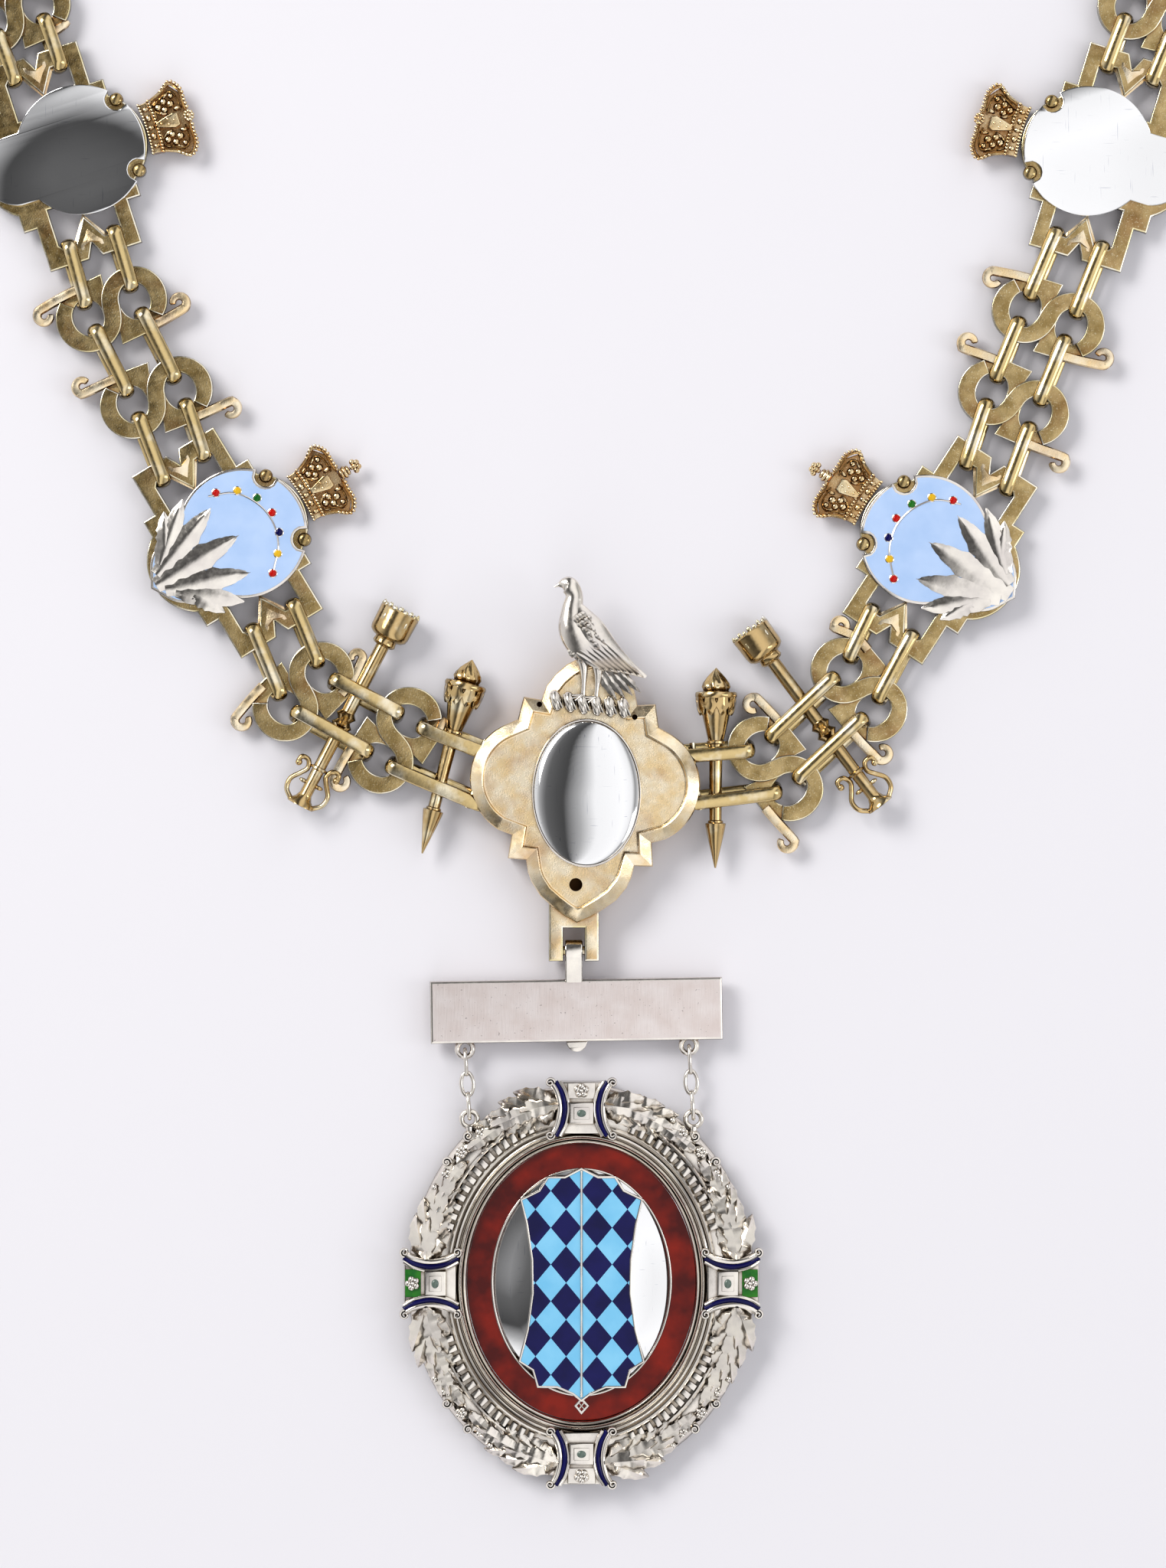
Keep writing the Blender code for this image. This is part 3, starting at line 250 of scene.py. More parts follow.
# %% Silver-gilt, polished
def make_polished_gilt(name, gold, silver, roughness, share):
    """Shiny gilt with silver showing through where it is rubbed."""
    made, tree, shader = material(name, gold, 1.0, roughness)
    rubbed = spread(tree, cloud(tree, 5.0, 3.0), 0.62 - share, 0.8 - share)
    body = blend_colours(tree, rubbed, gold, silver)
    body = blend_colours(tree, hollows(tree, 1.2, 0.2, 0.85), body, "#7a5426")
    # Painted shade: side walls turn a dark brown, with some tarnish.
    body = blend_colours(tree, unshaded_tops(tree, 0.0, 0.55), "#5d4822", body)
    feed(tree, shader, body, spread(tree, cloud(tree, 0.9), 0.35, 0.75, roughness - 0.04, roughness + 0.12))
    bump(tree, shader, cloud(tree, 1.1, 2.0), 0.04, 0.35)
    return made


GILT_EDGE = make_polished_gilt("silver_gilt_worn_edge", "#eadcae", "#faf4e4", 0.16, 0.2)
GILT_RING = make_polished_gilt("silver_gilt_drawn_wire", "#d6bd86", "#f2e6c8", 0.14, 0.12)
GILT_ROD = make_polished_gilt("silver_gilt_turned", "#cdb07c", "#eee0bc", 0.14, 0.1)

# %% [markdown]
# The badge, bar, bird and small chains are sterling silver. Polish stays on the high places,
# and sulphide darkens the hollows to a brownish grey, which is what draws the relief.

# %% Sterling silver
def make_silver(name, light, dark, roughness, reach, grain):
    """Polished silver with dark hollows and a slight ripple of hand work."""
    made, tree, shader = material(name, light, 1.0, roughness)
    body = blend_colours(tree, spread(tree, cloud(tree, 6.0), 0.3, 0.7), light, "#d9d2cc")
    body = blend_colours(tree, hollows(tree, reach, 0.3, 0.85), body, dark)
    # Painted shade: side walls turn a brownish grey, with some tarnish.
    body = blend_colours(tree, unshaded_tops(tree, -0.1, 0.4), "#75695c", body)
    feed(tree, shader, body, spread(tree, cloud(tree, 0.8), 0.35, 0.75, roughness, roughness + 0.1))
    bump(tree, shader, cloud(tree, grain, 3.0), 0.03, 0.35)
    return made


SILVER = make_silver("sterling_silver_polished", "#f7f1e6", "#6a5a44", 0.1, 0.85, 1.2)
SILVER_CAST = make_silver("sterling_silver_chased", "#faf3e6", "#4e4132", 0.13, 1.0, 0.6)

# %% [markdown]
# The bare plates, the plaque's boss and the badge's dish are polished like a mirror. No hand
# polish is flat, so a broad and slow wave bends what they reflect. The bar's face was rubbed
# down with abrasive paper in one direction, and the pits that were left hold dirt.

# %% Mirror and satin silver
def make_mirror():
    """Mirror-polished silver with hairline scratches from cleaning."""
    made, tree, shader = material("sterling_silver_mirror", "#f1f1f1", 1.0, 0.045)
    lines = cloud(tree, 0.25, 1.0, stretch=(1.0, 0.04, 1.0))
    turned_lines = cloud(tree, 0.3, 1.0, stretch=(0.06, 1.0, 1.0))
    both = add(tree, "ShaderNodeMath", {0: lines, 1: turned_lines}, operation="MAXIMUM").outputs[0]
    scratch = spread(tree, both, 0.72, 0.8)
    marked = blend_colours(tree, scratch, "#f1f1f1", "#c9ccd4")
    feed(tree, shader, marked, spread(tree, cloud(tree, 9.0), 0.3, 0.7, 0.03, 0.08))
    bow = cloud(tree, 30.0, 0.0, stretch=(0.6, 1.0, 1.0))
    bump(tree, shader, bow, 9.0)
    return made


def make_satin():
    """Silver rubbed down with abrasive paper, a little pink and grey."""
    made, tree, shader = material("sterling_silver_satin", "#ecdfd9", 1.0, 0.3)
    body = blend_colours(tree, spread(tree, cloud(tree, 4.0), 0.3, 0.7), "#eadcd6", "#f6ece8")
    pits = spread(tree, cloud(tree, 0.5, 1.0), 0.7, 0.78, 0.0, 0.6)
    feed(tree, shader, blend_colours(tree, pits, body, "#7d706c"))
    strokes = cloud(tree, 0.3, 2.0, stretch=(1.0, 0.08, 1.0))
    bump(tree, shader, strokes, 0.02, 0.5)
    return made


SILVER_MIRROR = make_mirror()
SILVER_SATIN = make_satin()

# %% [markdown]
# Vitreous enamel is coloured glass fused onto the metal. Where it is opaque it looks like wet
# paint with a very smooth, slightly wavy face. The red is translucent: the silver below lights
# it up, so it keeps a deep colour that turns orange where it is thin. The reflection on the
# glass is kept weak, because a strong one would lay the white sky over all these colours.

# %% Vitreous enamel
def make_enamel(name, base, other, size=6.0):
    """Glass on metal, in patches of two near colours."""
    made, tree, shader = material(name, base, 0.0, 0.07)
    shader.inputs["IOR"].default_value = 1.4
    shader.inputs["Specular IOR Level"].default_value = 0.3
    patches = spread(tree, cloud(tree, size, 3.0), 0.35, 0.65)
    feed(tree, shader, blend_colours(tree, patches, base, other))
    bump(tree, shader, cloud(tree, 2.5, 1.0), 0.03, 0.3)
    return made


ENAMEL_SKY = make_enamel("vitreous_enamel_sky", "#aecbf4", "#bcd5fa")
ENAMEL_LIGHT = make_enamel("vitreous_enamel_light_blue", "#76c4ee", "#88d0f5")
ENAMEL_NAVY = make_enamel("vitreous_enamel_navy", "#03033f", "#0b0b52")
ENAMEL_RED = make_enamel("vitreous_enamel_translucent_red", "#4a0502", "#861804", 7.0)
ENAMEL_GREEN = make_enamel("vitreous_enamel_green", "#0c5a1e", "#2c7a1c", 2.0)
ENAMEL_SCARLET = make_enamel("vitreous_enamel_scarlet", "#b5100c", "#c8180f")
ENAMEL_YELLOW = make_enamel("vitreous_enamel_yellow", "#e2b21c", "#eec030")
STONE = material("green_grey_chalcedony", "#5f6f66", 0.0, 0.15)[0]
# Dark brown for the plaque's bore walls: tarnish, and painted shade inside the holes.
GILT_TARNISH_AND_SHADE = material("silver_gilt_tarnish_and_painted_shade", "#5a3a1c", 0.8, 0.5)[0]
print("enamels, silver and gilt are ready")

# %% [markdown]
# The helpers below build into one bmesh per piece, in millimetres. A flat piece could be an
# extruded outline with a Bevel modifier, but a 2D curve already fills holes and rounds both
# rims, so it is used and then turned into faces. Its bevel faces take a second material: the
# bright worn edge that the eye reads as metal thickness.

# %% Outlines
def oval(wide, tall, count, centre=(0.0, 0.0), start=0.0, end=360.0):
    """Points on an ellipse, open at its end if it is only a part of one."""
    last = count if abs(end - start) >= 360 else count - 1
    points = []
    for index in range(count):
        angle = math.radians(start + (end - start) * index / last)
        points.append((centre[0] + wide * math.cos(angle), centre[1] + tall * math.sin(angle)))
    return points


def arc(centre, radius, start, end, count):
    """Points on a part of a circle, its two ends included."""
    return oval(radius, radius, count, centre, start, end)


def turns(count):
    """Even angles all the way round."""
    return [math.tau * index / count for index in range(count)]


def mirrored(points):
    return [(-x, y) for x, y in reversed(points)]


def flipped(points):
    return [(x, -y) for x, y in reversed(points)]


def half_turn(points):
    return [(-x, -y) for x, y in points]


def unit(angle):
    return Vector((math.cos(angle), math.sin(angle)))


def bearing(run):
    """The way that a run points in the plan, in degrees."""
    return math.degrees(math.atan2(run.y, run.x))


def inset(points, distance):
    """A closed counter-clockwise outline moved inwards by a small distance."""
    area = sum(a[0] * b[1] - b[0] * a[1] for a, b in zip(points, points[1:] + points[:1]))
    sign = 1.0 if area > 0 else -1.0
    moved = []
    for index, here in enumerate(points):
        before, after = Vector(points[index - 1]), Vector(points[(index + 1) % len(points)])
        first = (Vector(here) - before).normalized()
        second = (after - Vector(here)).normalized()
        normal = Vector((-first.y - second.y, first.x + second.x))
        if normal.length < 0.01:
            normal = Vector((-first.y, first.x))
        normal.normalize()
        share = max(0.45, normal.dot(Vector((-first.y, first.x))))
        moved.append(tuple(Vector(here) + normal * (distance * sign / share)))
    return moved


# %% Solids in a bmesh
def place(x, y, degrees=0.0, z=0.0):
    return Matrix.Translation((x, y, z)) @ Matrix.Rotation(math.radians(degrees), 4, "Z")


def flat(work, outlines, floor, top, bevel=0.25, slot=0, edge=None, matrix=None):
    """Fills an outline and its holes between two heights, with rounded rims."""
    curve = bpy.data.curves.new("flat", "CURVE")
    curve.dimensions = "2D"
    curve.fill_mode = "BOTH"
    curve.extrude = (top - floor) / 2 - bevel
    curve.bevel_depth = bevel
    curve.bevel_resolution = 1
    curve.offset = -bevel
    for outline in outlines:
        spline = curve.splines.new("POLY")
        spline.points.add(len(outline) - 1)
        spline.use_cyclic_u = True
        for point, spot in zip(spline.points, outline):
            point.co = (spot[0], spot[1], 0.0, 1.0)
    thing = bpy.data.objects.new("flat", curve)
    mesh = bpy.data.meshes.new_from_object(thing)
    part = bmesh.new()
    part.from_mesh(mesh)
    bmesh.ops.remove_doubles(part, verts=part.verts, dist=0.0005)
    bmesh.ops.translate(part, verts=part.verts, vec=(0, 0, (floor + top) / 2))
    bmesh.ops.recalc_face_normals(part, faces=part.faces)
    for face in part.faces:
        slanted = 0.1 < abs(face.normal.z) < 0.97
        face.material_index = edge if edge is not None and slanted else slot
    merge(work, part, matrix)
    bpy.data.objects.remove(thing)
    bpy.data.curves.remove(curve)
    bpy.data.meshes.remove(mesh)


def merge(work, part, matrix=None):
    """Adds one bmesh to another."""
    if matrix:
        bmesh.ops.transform(part, matrix=matrix, verts=part.verts)
        if matrix.determinant() < 0:
            bmesh.ops.reverse_faces(part, faces=part.faces)
    mesh = bpy.data.meshes.new("part")
    part.to_mesh(mesh)
    part.free()
    work.from_mesh(mesh)
    bpy.data.meshes.remove(mesh)


def close_up(work, part, slot, matrix=None):
    """Turns a part's faces outwards, gives them their material and adds them."""
    bmesh.ops.recalc_face_normals(part, faces=part.faces)
    for face in part.faces:
        face.material_index = slot
    merge(work, part, matrix)


def skin(work, loops, slot=0, closed=False, capped=True, matrix=None):
    """Faces between loops of points, each loop closed, with caps at the ends."""
    part = bmesh.new()
    rows = [[part.verts.new(point) for point in loop] for loop in loops]
    count = len(rows[0])
    pairs = list(zip(rows, rows[1:])) + ([(rows[-1], rows[0])] if closed else [])
    for first, second in pairs:
        for index in range(count):
            after = (index + 1) % count
            part.faces.new((first[index], first[after], second[after], second[index]))
    if capped and not closed:
        part.faces.new(rows[0])
        part.faces.new(rows[-1])
    close_up(work, part, slot, matrix)


def sweep(
    work, path, wide, tall, sides=10, closed=False, slot=0, across=None, sizes=None, matrix=None, power=1.0,
):
    """A wire of oval section along a path, wide across it and tall in its plane."""
    loops = []
    last = len(path) - 1
    for index, spot in enumerate(path):
        spot = Vector(spot)
        if closed:
            heading = Vector(path[(index + 1) % len(path)]) - Vector(path[index - 1])
        else:
            heading = Vector(path[min(index + 1, last)]) - Vector(path[max(index - 1, 0)])
        heading.normalize()
        side = Vector(across) if across else heading.cross(Vector((0, 0, 1))).normalized()
        upright = side.cross(heading).normalized()
        size = sizes[index] if sizes else 1.0
        loop = []
        for step in range(sides):
            angle = math.tau * (step + 0.5) / sides
            x, y = math.cos(angle), math.sin(angle)
            x = math.copysign(abs(x) ** power, x) * wide / 2 * size
            y = math.copysign(abs(y) ** power, y) * tall / 2 * size
            loop.append(spot + side * x + upright * y)
        loops.append(loop)
    skin(work, loops, slot, closed, matrix=matrix)


def lathe(work, profile, sides=24, slot=0, matrix=None, ridges=None):
    """A profile of (height, radius) pairs round Z; ridges gives radii by angle."""
    loops = []
    for height, radius in profile:
        loop = []
        for angle in turns(sides):
            grown = max(radius, 0.01) * (ridges(angle, height) if ridges else 1.0)
            loop.append(Vector((grown * math.cos(angle), grown * math.sin(angle), height)))
        loops.append(loop)
    skin(work, loops, slot, matrix=matrix)


def ball(work, spot, radius, slot=0, squash=(1.0, 1.0, 1.0), matrix=None, rings=6):
    """A bead, a stud or a drop."""
    profile = []
    for index in range(rings + 1):
        angle = math.pi * index / rings
        profile.append((math.cos(angle) * radius, max(math.sin(angle) * radius, 0.02 * radius)))
    shape = Matrix.Translation(spot) @ Matrix.Diagonal((*squash, 1.0))
    lathe(work, profile, rings * 2, slot, (matrix or Matrix()) @ shape)


def smooth_path(points, steps):
    """A smooth curve through points, with this many steps between two of them."""
    spots = [Vector(point) for point in points]
    spots = [spots[0] * 2 - spots[1]] + spots + [spots[-1] * 2 - spots[-2]]
    result = []
    for index in range(1, len(spots) - 2):
        a, b, c, d = spots[index - 1:index + 3]
        for step in range(steps):
            t = step / steps
            result.append(0.5 * (2 * b + (c - a) * t + (2 * a - 5 * b + 4 * c - d) * t * t
                                 + (3 * b - a - 3 * c + d) * t ** 3))
    return result + [spots[-2]]


# %% [markdown]
# The last helper turns a bmesh into a finished object in metres. Faces are shaded smooth, and
# edges sharper than a given angle stay crisp. A modifier weights the normals by area, so that
# the narrow rounded rims don't bend the light on the flat faces beside them. The piece rides
# on the one body of the frame, and stands for its construction node.

# %% Finishing a piece
def show(name, data):
    """A new object in the scene."""
    thing = bpy.data.objects.new(name, data)
    bpy.context.scene.collection.objects.link(thing)
    return thing


def finish(work, name, materials, nodes, angle=40):
    bmesh.ops.scale(work, vec=(MM, MM, MM), verts=work.verts)
    mesh = bpy.data.meshes.new(name)
    work.to_mesh(mesh)
    work.free()
    for entry in materials:
        mesh.materials.append(entry)
    mesh.shade_smooth()
    mesh.set_sharp_from_angle(angle=math.radians(angle))
    thing = show(name, mesh)
    weighted = thing.modifiers.new("flat faces stay flat", "WEIGHTED_NORMAL")
    weighted.keep_sharp = True
    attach(thing, "root")
    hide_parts(*nodes)


# %% [markdown]
# The chain's links lie flat and the rings stand on edge between them. The stretch behind the
# neck goes round one circle, so its links are worked out and not listed. Each link keeps its
# place, its turn and the side that its crown looks to.

# %% Where every link lies
def entry(name, kind, x, y, turn, side):
    return {"name": name, "kind": kind, "place": Vector((x, y)), "turn": turn, "side": side}


def back_links():
    """Links behind the neck on the left, on a circle up to the top of the loop."""
    last = Vector(LINK_PLACES[6][2:4])
    lean = math.radians(LINK_PLACES[6][4])
    radius = -last.x / math.cos(lean)
    centre = Vector((0.0, last.y + radius * math.sin(lean)))
    total = sum(pitch for _, pitch in BACK_PITCHES)
    links, run = [], 0.0
    numbers, words = {"S": 5, "F": 2}, {"S": "s_link", "F": "frame"}
    for kind, pitch in BACK_PITCHES:
        run += pitch
        numbers[kind] += 1
        angle = math.pi + lean - (math.pi / 2 + lean) * run / total
        spot = centre + unit(angle) * radius
        name = f"{words[kind]}_left_{numbers[kind]}"
        links.append((name, kind, spot.x, spot.y, math.degrees(angle) - 180))
    links[-1] = ("frame_back", "F", 0.0, centre.y + radius, -90.0)
    return links


def all_links():
    left = [entry(*row, 1) for row in LINK_PLACES[:7]]
    right = [entry(*row, -1) for row in LINK_PLACES[7:]]
    hidden = back_links()
    back = [entry(*row, 1) for row in hidden]
    other = [
        entry(name.replace("left", "right"), kind, -x, y, -turn, -1)
        for name, kind, x, y, turn in hidden[:-1]
    ]
    return left + back + other[::-1] + right[::-1]


LINKS = all_links()
FRONT_COUNT = 6
MIDDLE = len(LINKS) // 2
FRONT = LINKS[:FRONT_COUNT] + LINKS[-FRONT_COUNT:]


def link_matrix(link):
    return place(*link["place"], link["turn"])


print(len(LINKS), "links round the loop")

# %% [markdown]
# An S-shaped link is a flat ribbon bent to an S. Under each bend a lower wedge closes the eye,
# and runs out into a thin tail with a curled end. Cutting all this from one outline would lose
# the step between ribbon and wedge, so they are separate layers: ribbon on top, wedges a
# little lower, and tails as swept wires that taper.

# %% S-shaped links
TAIL_PATHS = {
    "up": ((12.9, -3.4), 1.35, -80, 175),
    "high": ((12.3, -1.7), 1.1, -80, 175),
    "down": ((13.4, -6.1), 1.35, 80, -155),
    "near": ((12.4, -4.3), 1.2, 80, -155),
}
LOOP_CENTRE = (HOLE_SPACING / 2, 0.3)
LOOP_RADIUS = 6.5
WEDGE_TOP = LINK_TOP - 0.65
TAIL_HEIGHT = 2.95
S_FINISHES = [GILT_FLAT, GILT_EDGE, GILT_PALE]


def tail_path(kind):
    if kind == "stub":
        return [(5.6, -5.9), (7.4, -5.5), (9.6, -4.9)]
    centre, radius, start, end = TAIL_PATHS[kind]
    rise = 0.7 if kind == "high" else 0.0
    return [(5.4, -5.9 + rise), (8.8, -5.5 + rise * 1.4)] + arc(centre, radius, start, end, 9)


def s_half(work, kind, matrix):
    """The wedge under the right eye and the tail that it runs out into."""
    eye = oval(HOLE_WIDE / 2, HOLE_LONG / 2, 20, (HOLE_SPACING / 2, 0.0), 180, 312)
    wedge = [(0.4, -0.8), (-0.4, -7.2), (6.6, -6.6), (9.2, -5.6), (9.0, -4.2)] + eye[::-1]
    flat(work, [wedge[::-1]], LINK_FLOOR, WEDGE_TOP, 0.2, 0, 1, matrix)
    path = smooth_path([(x, y, TAIL_HEIGHT) for x, y in tail_path(kind)], 3)
    count = len(path)
    sizes = [1.2 - 0.45 * index / count for index in range(count)]
    sizes[-1] = 0.45
    sweep(work, path, 1.75, 1.9, 10, slot=2, sizes=sizes, matrix=matrix, power=0.6)


def s_link(work, kinds, matrix):
    """Ribbon, wedges and tails of one S-shaped link."""
    half = arc(LOOP_CENTRE, LOOP_RADIUS, 168, -50, 30)
    half += oval(HOLE_WIDE / 2, HOLE_LONG / 2, 24, (HOLE_SPACING / 2, 0.0), -50, 180)
    flat(work, [half + half_turn(half)], LINK_FLOOR, LINK_TOP, 0.24, 0, 1, matrix)
    for kind, turn in ((kinds[1], 0), (kinds[0], 180)):
        s_half(work, kind, matrix @ place(0, 0, turn))


for link in FRONT:
    if link["kind"] == "S":
        work = bmesh.new()
        s_link(work, TAILS[link["name"]], link_matrix(link))
        finish(work, link["name"] + "_form", S_FINISHES, [link["name"]], 30)
print("S-shaped links in front are made")

# %% [markdown]
# The rings are thick drawn wire, flattened and bent to a long loop with round ends. A torus
# would be the wrong shape, so an oval section is swept along the loop. The places where a
# ring's ends bear come from the links that it joins, as on the construction model.

# %% Rings
CORNER = 1.45
LEAN = 11.0


def ring_loop(half_long, half_tall, belly):
    """A long loop with rounded corners, its long sides bowed out a little."""
    points = arc((half_long - CORNER, CORNER - half_tall), CORNER, -90, 0, 6)
    points += arc((half_long - CORNER, half_tall - CORNER), CORNER, 0, 90, 6)
    for share in (0.75, 0.5, 0.25, 0.0, -0.25, -0.5, -0.75):
        rise = belly * (1 - share * share)
        points.append((share * (half_long - CORNER), half_tall + rise))
    return points + half_turn(points)


def ring(work, start, end, height, slot=0, far_snug=1):
    """An upright ring between two points of the plan, drawn in until it touches."""
    start, end = Vector(start), Vector(end)
    heading = (end - start).normalized()
    snug = hook_in(height) + RING_PLAY - 0.05
    start, end = start + heading * snug, end - heading * (snug * far_snug)
    run, middle = end - start, (start + end) / 2
    half_tall = (height - WIRE_THICK) / 2 - 0.15
    loop = ring_loop((run.length + WIRE_THICK) / 2, half_tall, 0.15)
    path = [(x, 0.0, z) for x, z in loop]
    side = 1 if middle.x < 0 else -1
    tilt = Matrix.Rotation(math.radians(LEAN * side), 4, "X")
    matrix = place(*middle, bearing(run), height / 2) @ tilt
    sweep(work, path, RING_WIDE, WIRE_THICK, 16, True, slot, (0, 1, 0), matrix=matrix)


def hook_in(height):
    """How far a ring's round end curves in at the height of the link's faces."""
    inner = height / 2 - WIRE_THICK
    reach = max(abs(LINK_TOP - height / 2), abs(LINK_FLOOR - height / 2))
    return inner - math.sqrt(inner * inner - reach * reach)


def s_hole(link, sign):
    return link["place"] + unit(math.radians(link["turn"])) * (sign * HOLE_SPACING / 2)


def reach_in_hole(link, heading, height):
    """Distance from a hole's centre to a ring's inner end, along its run."""
    angle = math.radians(link["turn"])
    along = Vector((heading.x * math.cos(angle) + heading.y * math.sin(angle),
                    heading.y * math.cos(angle) - heading.x * math.sin(angle)))
    across = Vector((-along.y, along.x)) * (WIRE_WIDE / 2)
    wide, long = (size / 2 * math.cos(math.pi / 10) for size in (HOLE_WIDE, HOLE_LONG))
    best = long
    for sign in (1, -1):
        side = across * sign
        a = (along.x / wide) ** 2 + (along.y / long) ** 2
        b = along.x * side.x / wide ** 2 + along.y * side.y / long ** 2
        c = (side.x / wide) ** 2 + (side.y / long) ** 2 - 1
        best = min(best, (-b + math.sqrt(b * b - a * c)) / a)
    return best - hook_in(height) - RING_PLAY


def ring_anchor(link, sign, towards):
    """Where a ring bears on a link: in a hole, or behind the end bar of a frame."""
    if link["kind"] == "S":
        return s_hole(link, sign)
    angle = math.radians(link["turn"])
    along = Vector((-math.sin(angle), math.cos(angle)))
    across = unit(angle)
    if along.dot(towards - link["place"]) < 0:
        along = -along
    inner = FRAME_LONG / 2 - FRAME_END_BAR - RING_PLAY
    return link["place"] + along * inner + across * (sign * FRAME_RING_SPACING / 2)


def ring_between(work, first, second, signs, height, slot=0):
    start = ring_anchor(first, signs[0], second["place"])
    end = ring_anchor(second, signs[1], first["place"])
    heading = (end - start).normalized()
    for link, point, direction in ((first, start, heading), (second, end, -heading)):
        if link["kind"] == "S":
            point += direction * reach_in_hole(link, direction, height)
        else:
            point -= direction * hook_in(height)
    ring(work, start, end, height, slot)


PLAQUE_RINGS = (
    ("ring_left_0_upper", LINKS[0], 1, (-18.3, 7.1)),
    ("ring_left_0_lower", LINKS[0], -1, (-20.5, -2.5)),
    ("ring_right_0_upper", LINKS[-1], -1, (19.4, 7.0)),
    ("ring_right_0_lower", LINKS[-1], 1, (20.5, -2.3)),
)
PLAQUE_SLOTS = []
for name, link, sign, inner_end in PLAQUE_RINGS:
    start, end = s_hole(link, sign), Vector(inner_end)
    heading = (end - start).normalized()
    start += heading * reach_in_hole(link, heading, LONG_RING_TALL)
    PLAQUE_SLOTS.append(place(*end, bearing(heading)))
    work = bmesh.new()
    ring(work, start, end, LONG_RING_TALL, far_snug=0)
    finish(work, name + "_form", [GILT_RING], [name])
for side, run in (("left", LINKS), ("right", LINKS[::-1])):
    for number in range(1, FRONT_COUNT):
        first, second = run[number - 1:number + 1]
        height = LONG_RING_TALL if number == 1 else RING_TALL
        for word, sign in (("inner", 1), ("outer", -1)):
            name = f"ring_{side}_{number}_{word}"
            sign *= first["side"]
            work = bmesh.new()
            ring_between(work, first, second, (sign, sign), height)
            finish(work, name + "_form", [GILT_RING], [name])
print("rings in front are made")

# %% [markdown]
# A frame link is a pierced plate. Each end has a V-shaped notch, and behind it a tongue like
# an arrow head that points at the round plate. The tongue is cast thicker than the frame and
# has a ridge, so it is a small faceted solid of its own on top of the pierced plate.

# %% Frame links
FRAME_HALF = FRAME_LONG / 2
FRAME_FLANK = 9.4
SHOULDER = 12.0
LOBE_REACH = 16.8
LOBE_RADIUS = 10.1
WINDOW_TIP = 12.4


def frame_outline():
    """Notched ends and straight flanks, with shoulders and a round lobe on each side."""
    lobe = LOBE_REACH - LOBE_RADIUS
    start = math.degrees(math.acos((SHOULDER - lobe) / LOBE_RADIUS))
    upper = [
        (0.0, FRAME_HALF - 2.8), (1.4, FRAME_HALF), (FRAME_FLANK, FRAME_HALF),
        (FRAME_FLANK, SHOULDER), (SHOULDER, SHOULDER),
    ]
    half = upper + arc((lobe, 0.0), LOBE_RADIUS, start, -start, 21) + flipped(upper)
    return half + mirrored(half)[1:-1]


def frame_window():
    """The W-shaped opening at one end, under its tongue."""
    end = FRAME_HALF - FRAME_END_BAR
    deep = WINDOW_TIP - FRAME_END_BAR + 0.3
    right = [(2.9, end), (5.7, end), (6.3, end - 0.7), (6.3, deep)]
    return [(0.0, WINDOW_TIP)] + right + mirrored(right)


def tongue(work, turn, matrix):
    """Arrow head behind an end's notch, with a ridge down its middle."""
    top, low = LINK_TOP + 0.05, LINK_TOP - 0.5
    spots = [
        (0.0, 11.9, low), (0.0, 17.4, top + 0.35), (0.0, 17.9, low), (1.5, 20.5, low),
        (3.6, 20.5, low), (3.3, 17.0, low), (1.9, 18.2, top + 0.1), (2.7, 16.0, low),
    ]
    part = bmesh.new()
    for sign in (1, -1):
        made = [part.verts.new((sign * x, y, z)) for x, y, z in spots]
        for corners in ((0, 7, 1), (1, 7, 6), (7, 5, 6), (1, 6, 2), (2, 6, 3), (3, 6, 4), (4, 6, 5)):
            part.faces.new([made[index] for index in corners])
    bmesh.ops.remove_doubles(part, verts=part.verts, dist=0.001)
    bmesh.ops.recalc_face_normals(part, faces=part.faces)
    for face in part.faces:
        if face.normal.z < 0:
            face.normal_flip()
    bmesh.ops.solidify(part, geom=part.faces, thickness=0.5)
    for face in part.faces:
        face.material_index = 2
    merge(work, part, matrix @ place(0, 0, turn))


def stud(work, spot, matrix):
    """A domed rivet beside the round plate."""
    profile = [(0.7, 0.1), (0.66, 0.6), (0.5, 1.0), (0.2, 1.25), (-0.1, 1.35), (-2.0, 1.35)]
    lathe(work, profile, 24, 0, matrix @ Matrix.Translation((*spot, PLATE_FLOOR + 0.1)))


def frame_link(work, link, with_cross):
    matrix = link_matrix(link)
    window = frame_window()
    outlines = [frame_outline(), window, flipped(window)]
    flat(work, outlines, LINK_FLOOR, LINK_TOP, 0.32, 0, 1, matrix)
    for turn in (0, 180):
        tongue(work, turn, matrix)
    for sign in (1, -1):
        x, y = unit(math.radians(sign * STUD_ANGLE)) * STUD_CIRCLE
        stud(work, (link["side"] * (PLATE_OFFSET + x), y), matrix)
    crown(work, matrix @ Matrix.Diagonal((link["side"], 1, 1, 1)), with_cross)


# %% [markdown]
# Each crown was cast in one piece with deep undercuts: a jewelled band between two rows of
# beads, a cross that flares upwards, two arches with a beaded edge and an orb. From above, the
# eye reads beads, grooves and dark hollows. So it is built from many small beads and swept
# bars over a backing plate, and the finish darkens what lies between them.

# %% Crowns
CROWN_START = PLATE_OFFSET + PLATE_RADIUS + GAP
CROWN_TALL = 9.4
CROWN_BASE = 4.9
CROWN_WIDE = 7.3
CROWN_TOP = LINK_TOP + 0.1
CROWN_SLOT = 3


def crown_bar(work, points, wide, tall, height, matrix):
    path = smooth_path([(x, y, height) for x, y in points], 5)
    sweep(work, path, wide, tall, 6, slot=CROWN_SLOT, matrix=matrix, power=0.8)


def crown_ball(work, spot, radius, matrix, rings=4, squash=(1.0, 1.0, 1.0)):
    ball(work, spot, radius, CROWN_SLOT, squash, matrix, rings)


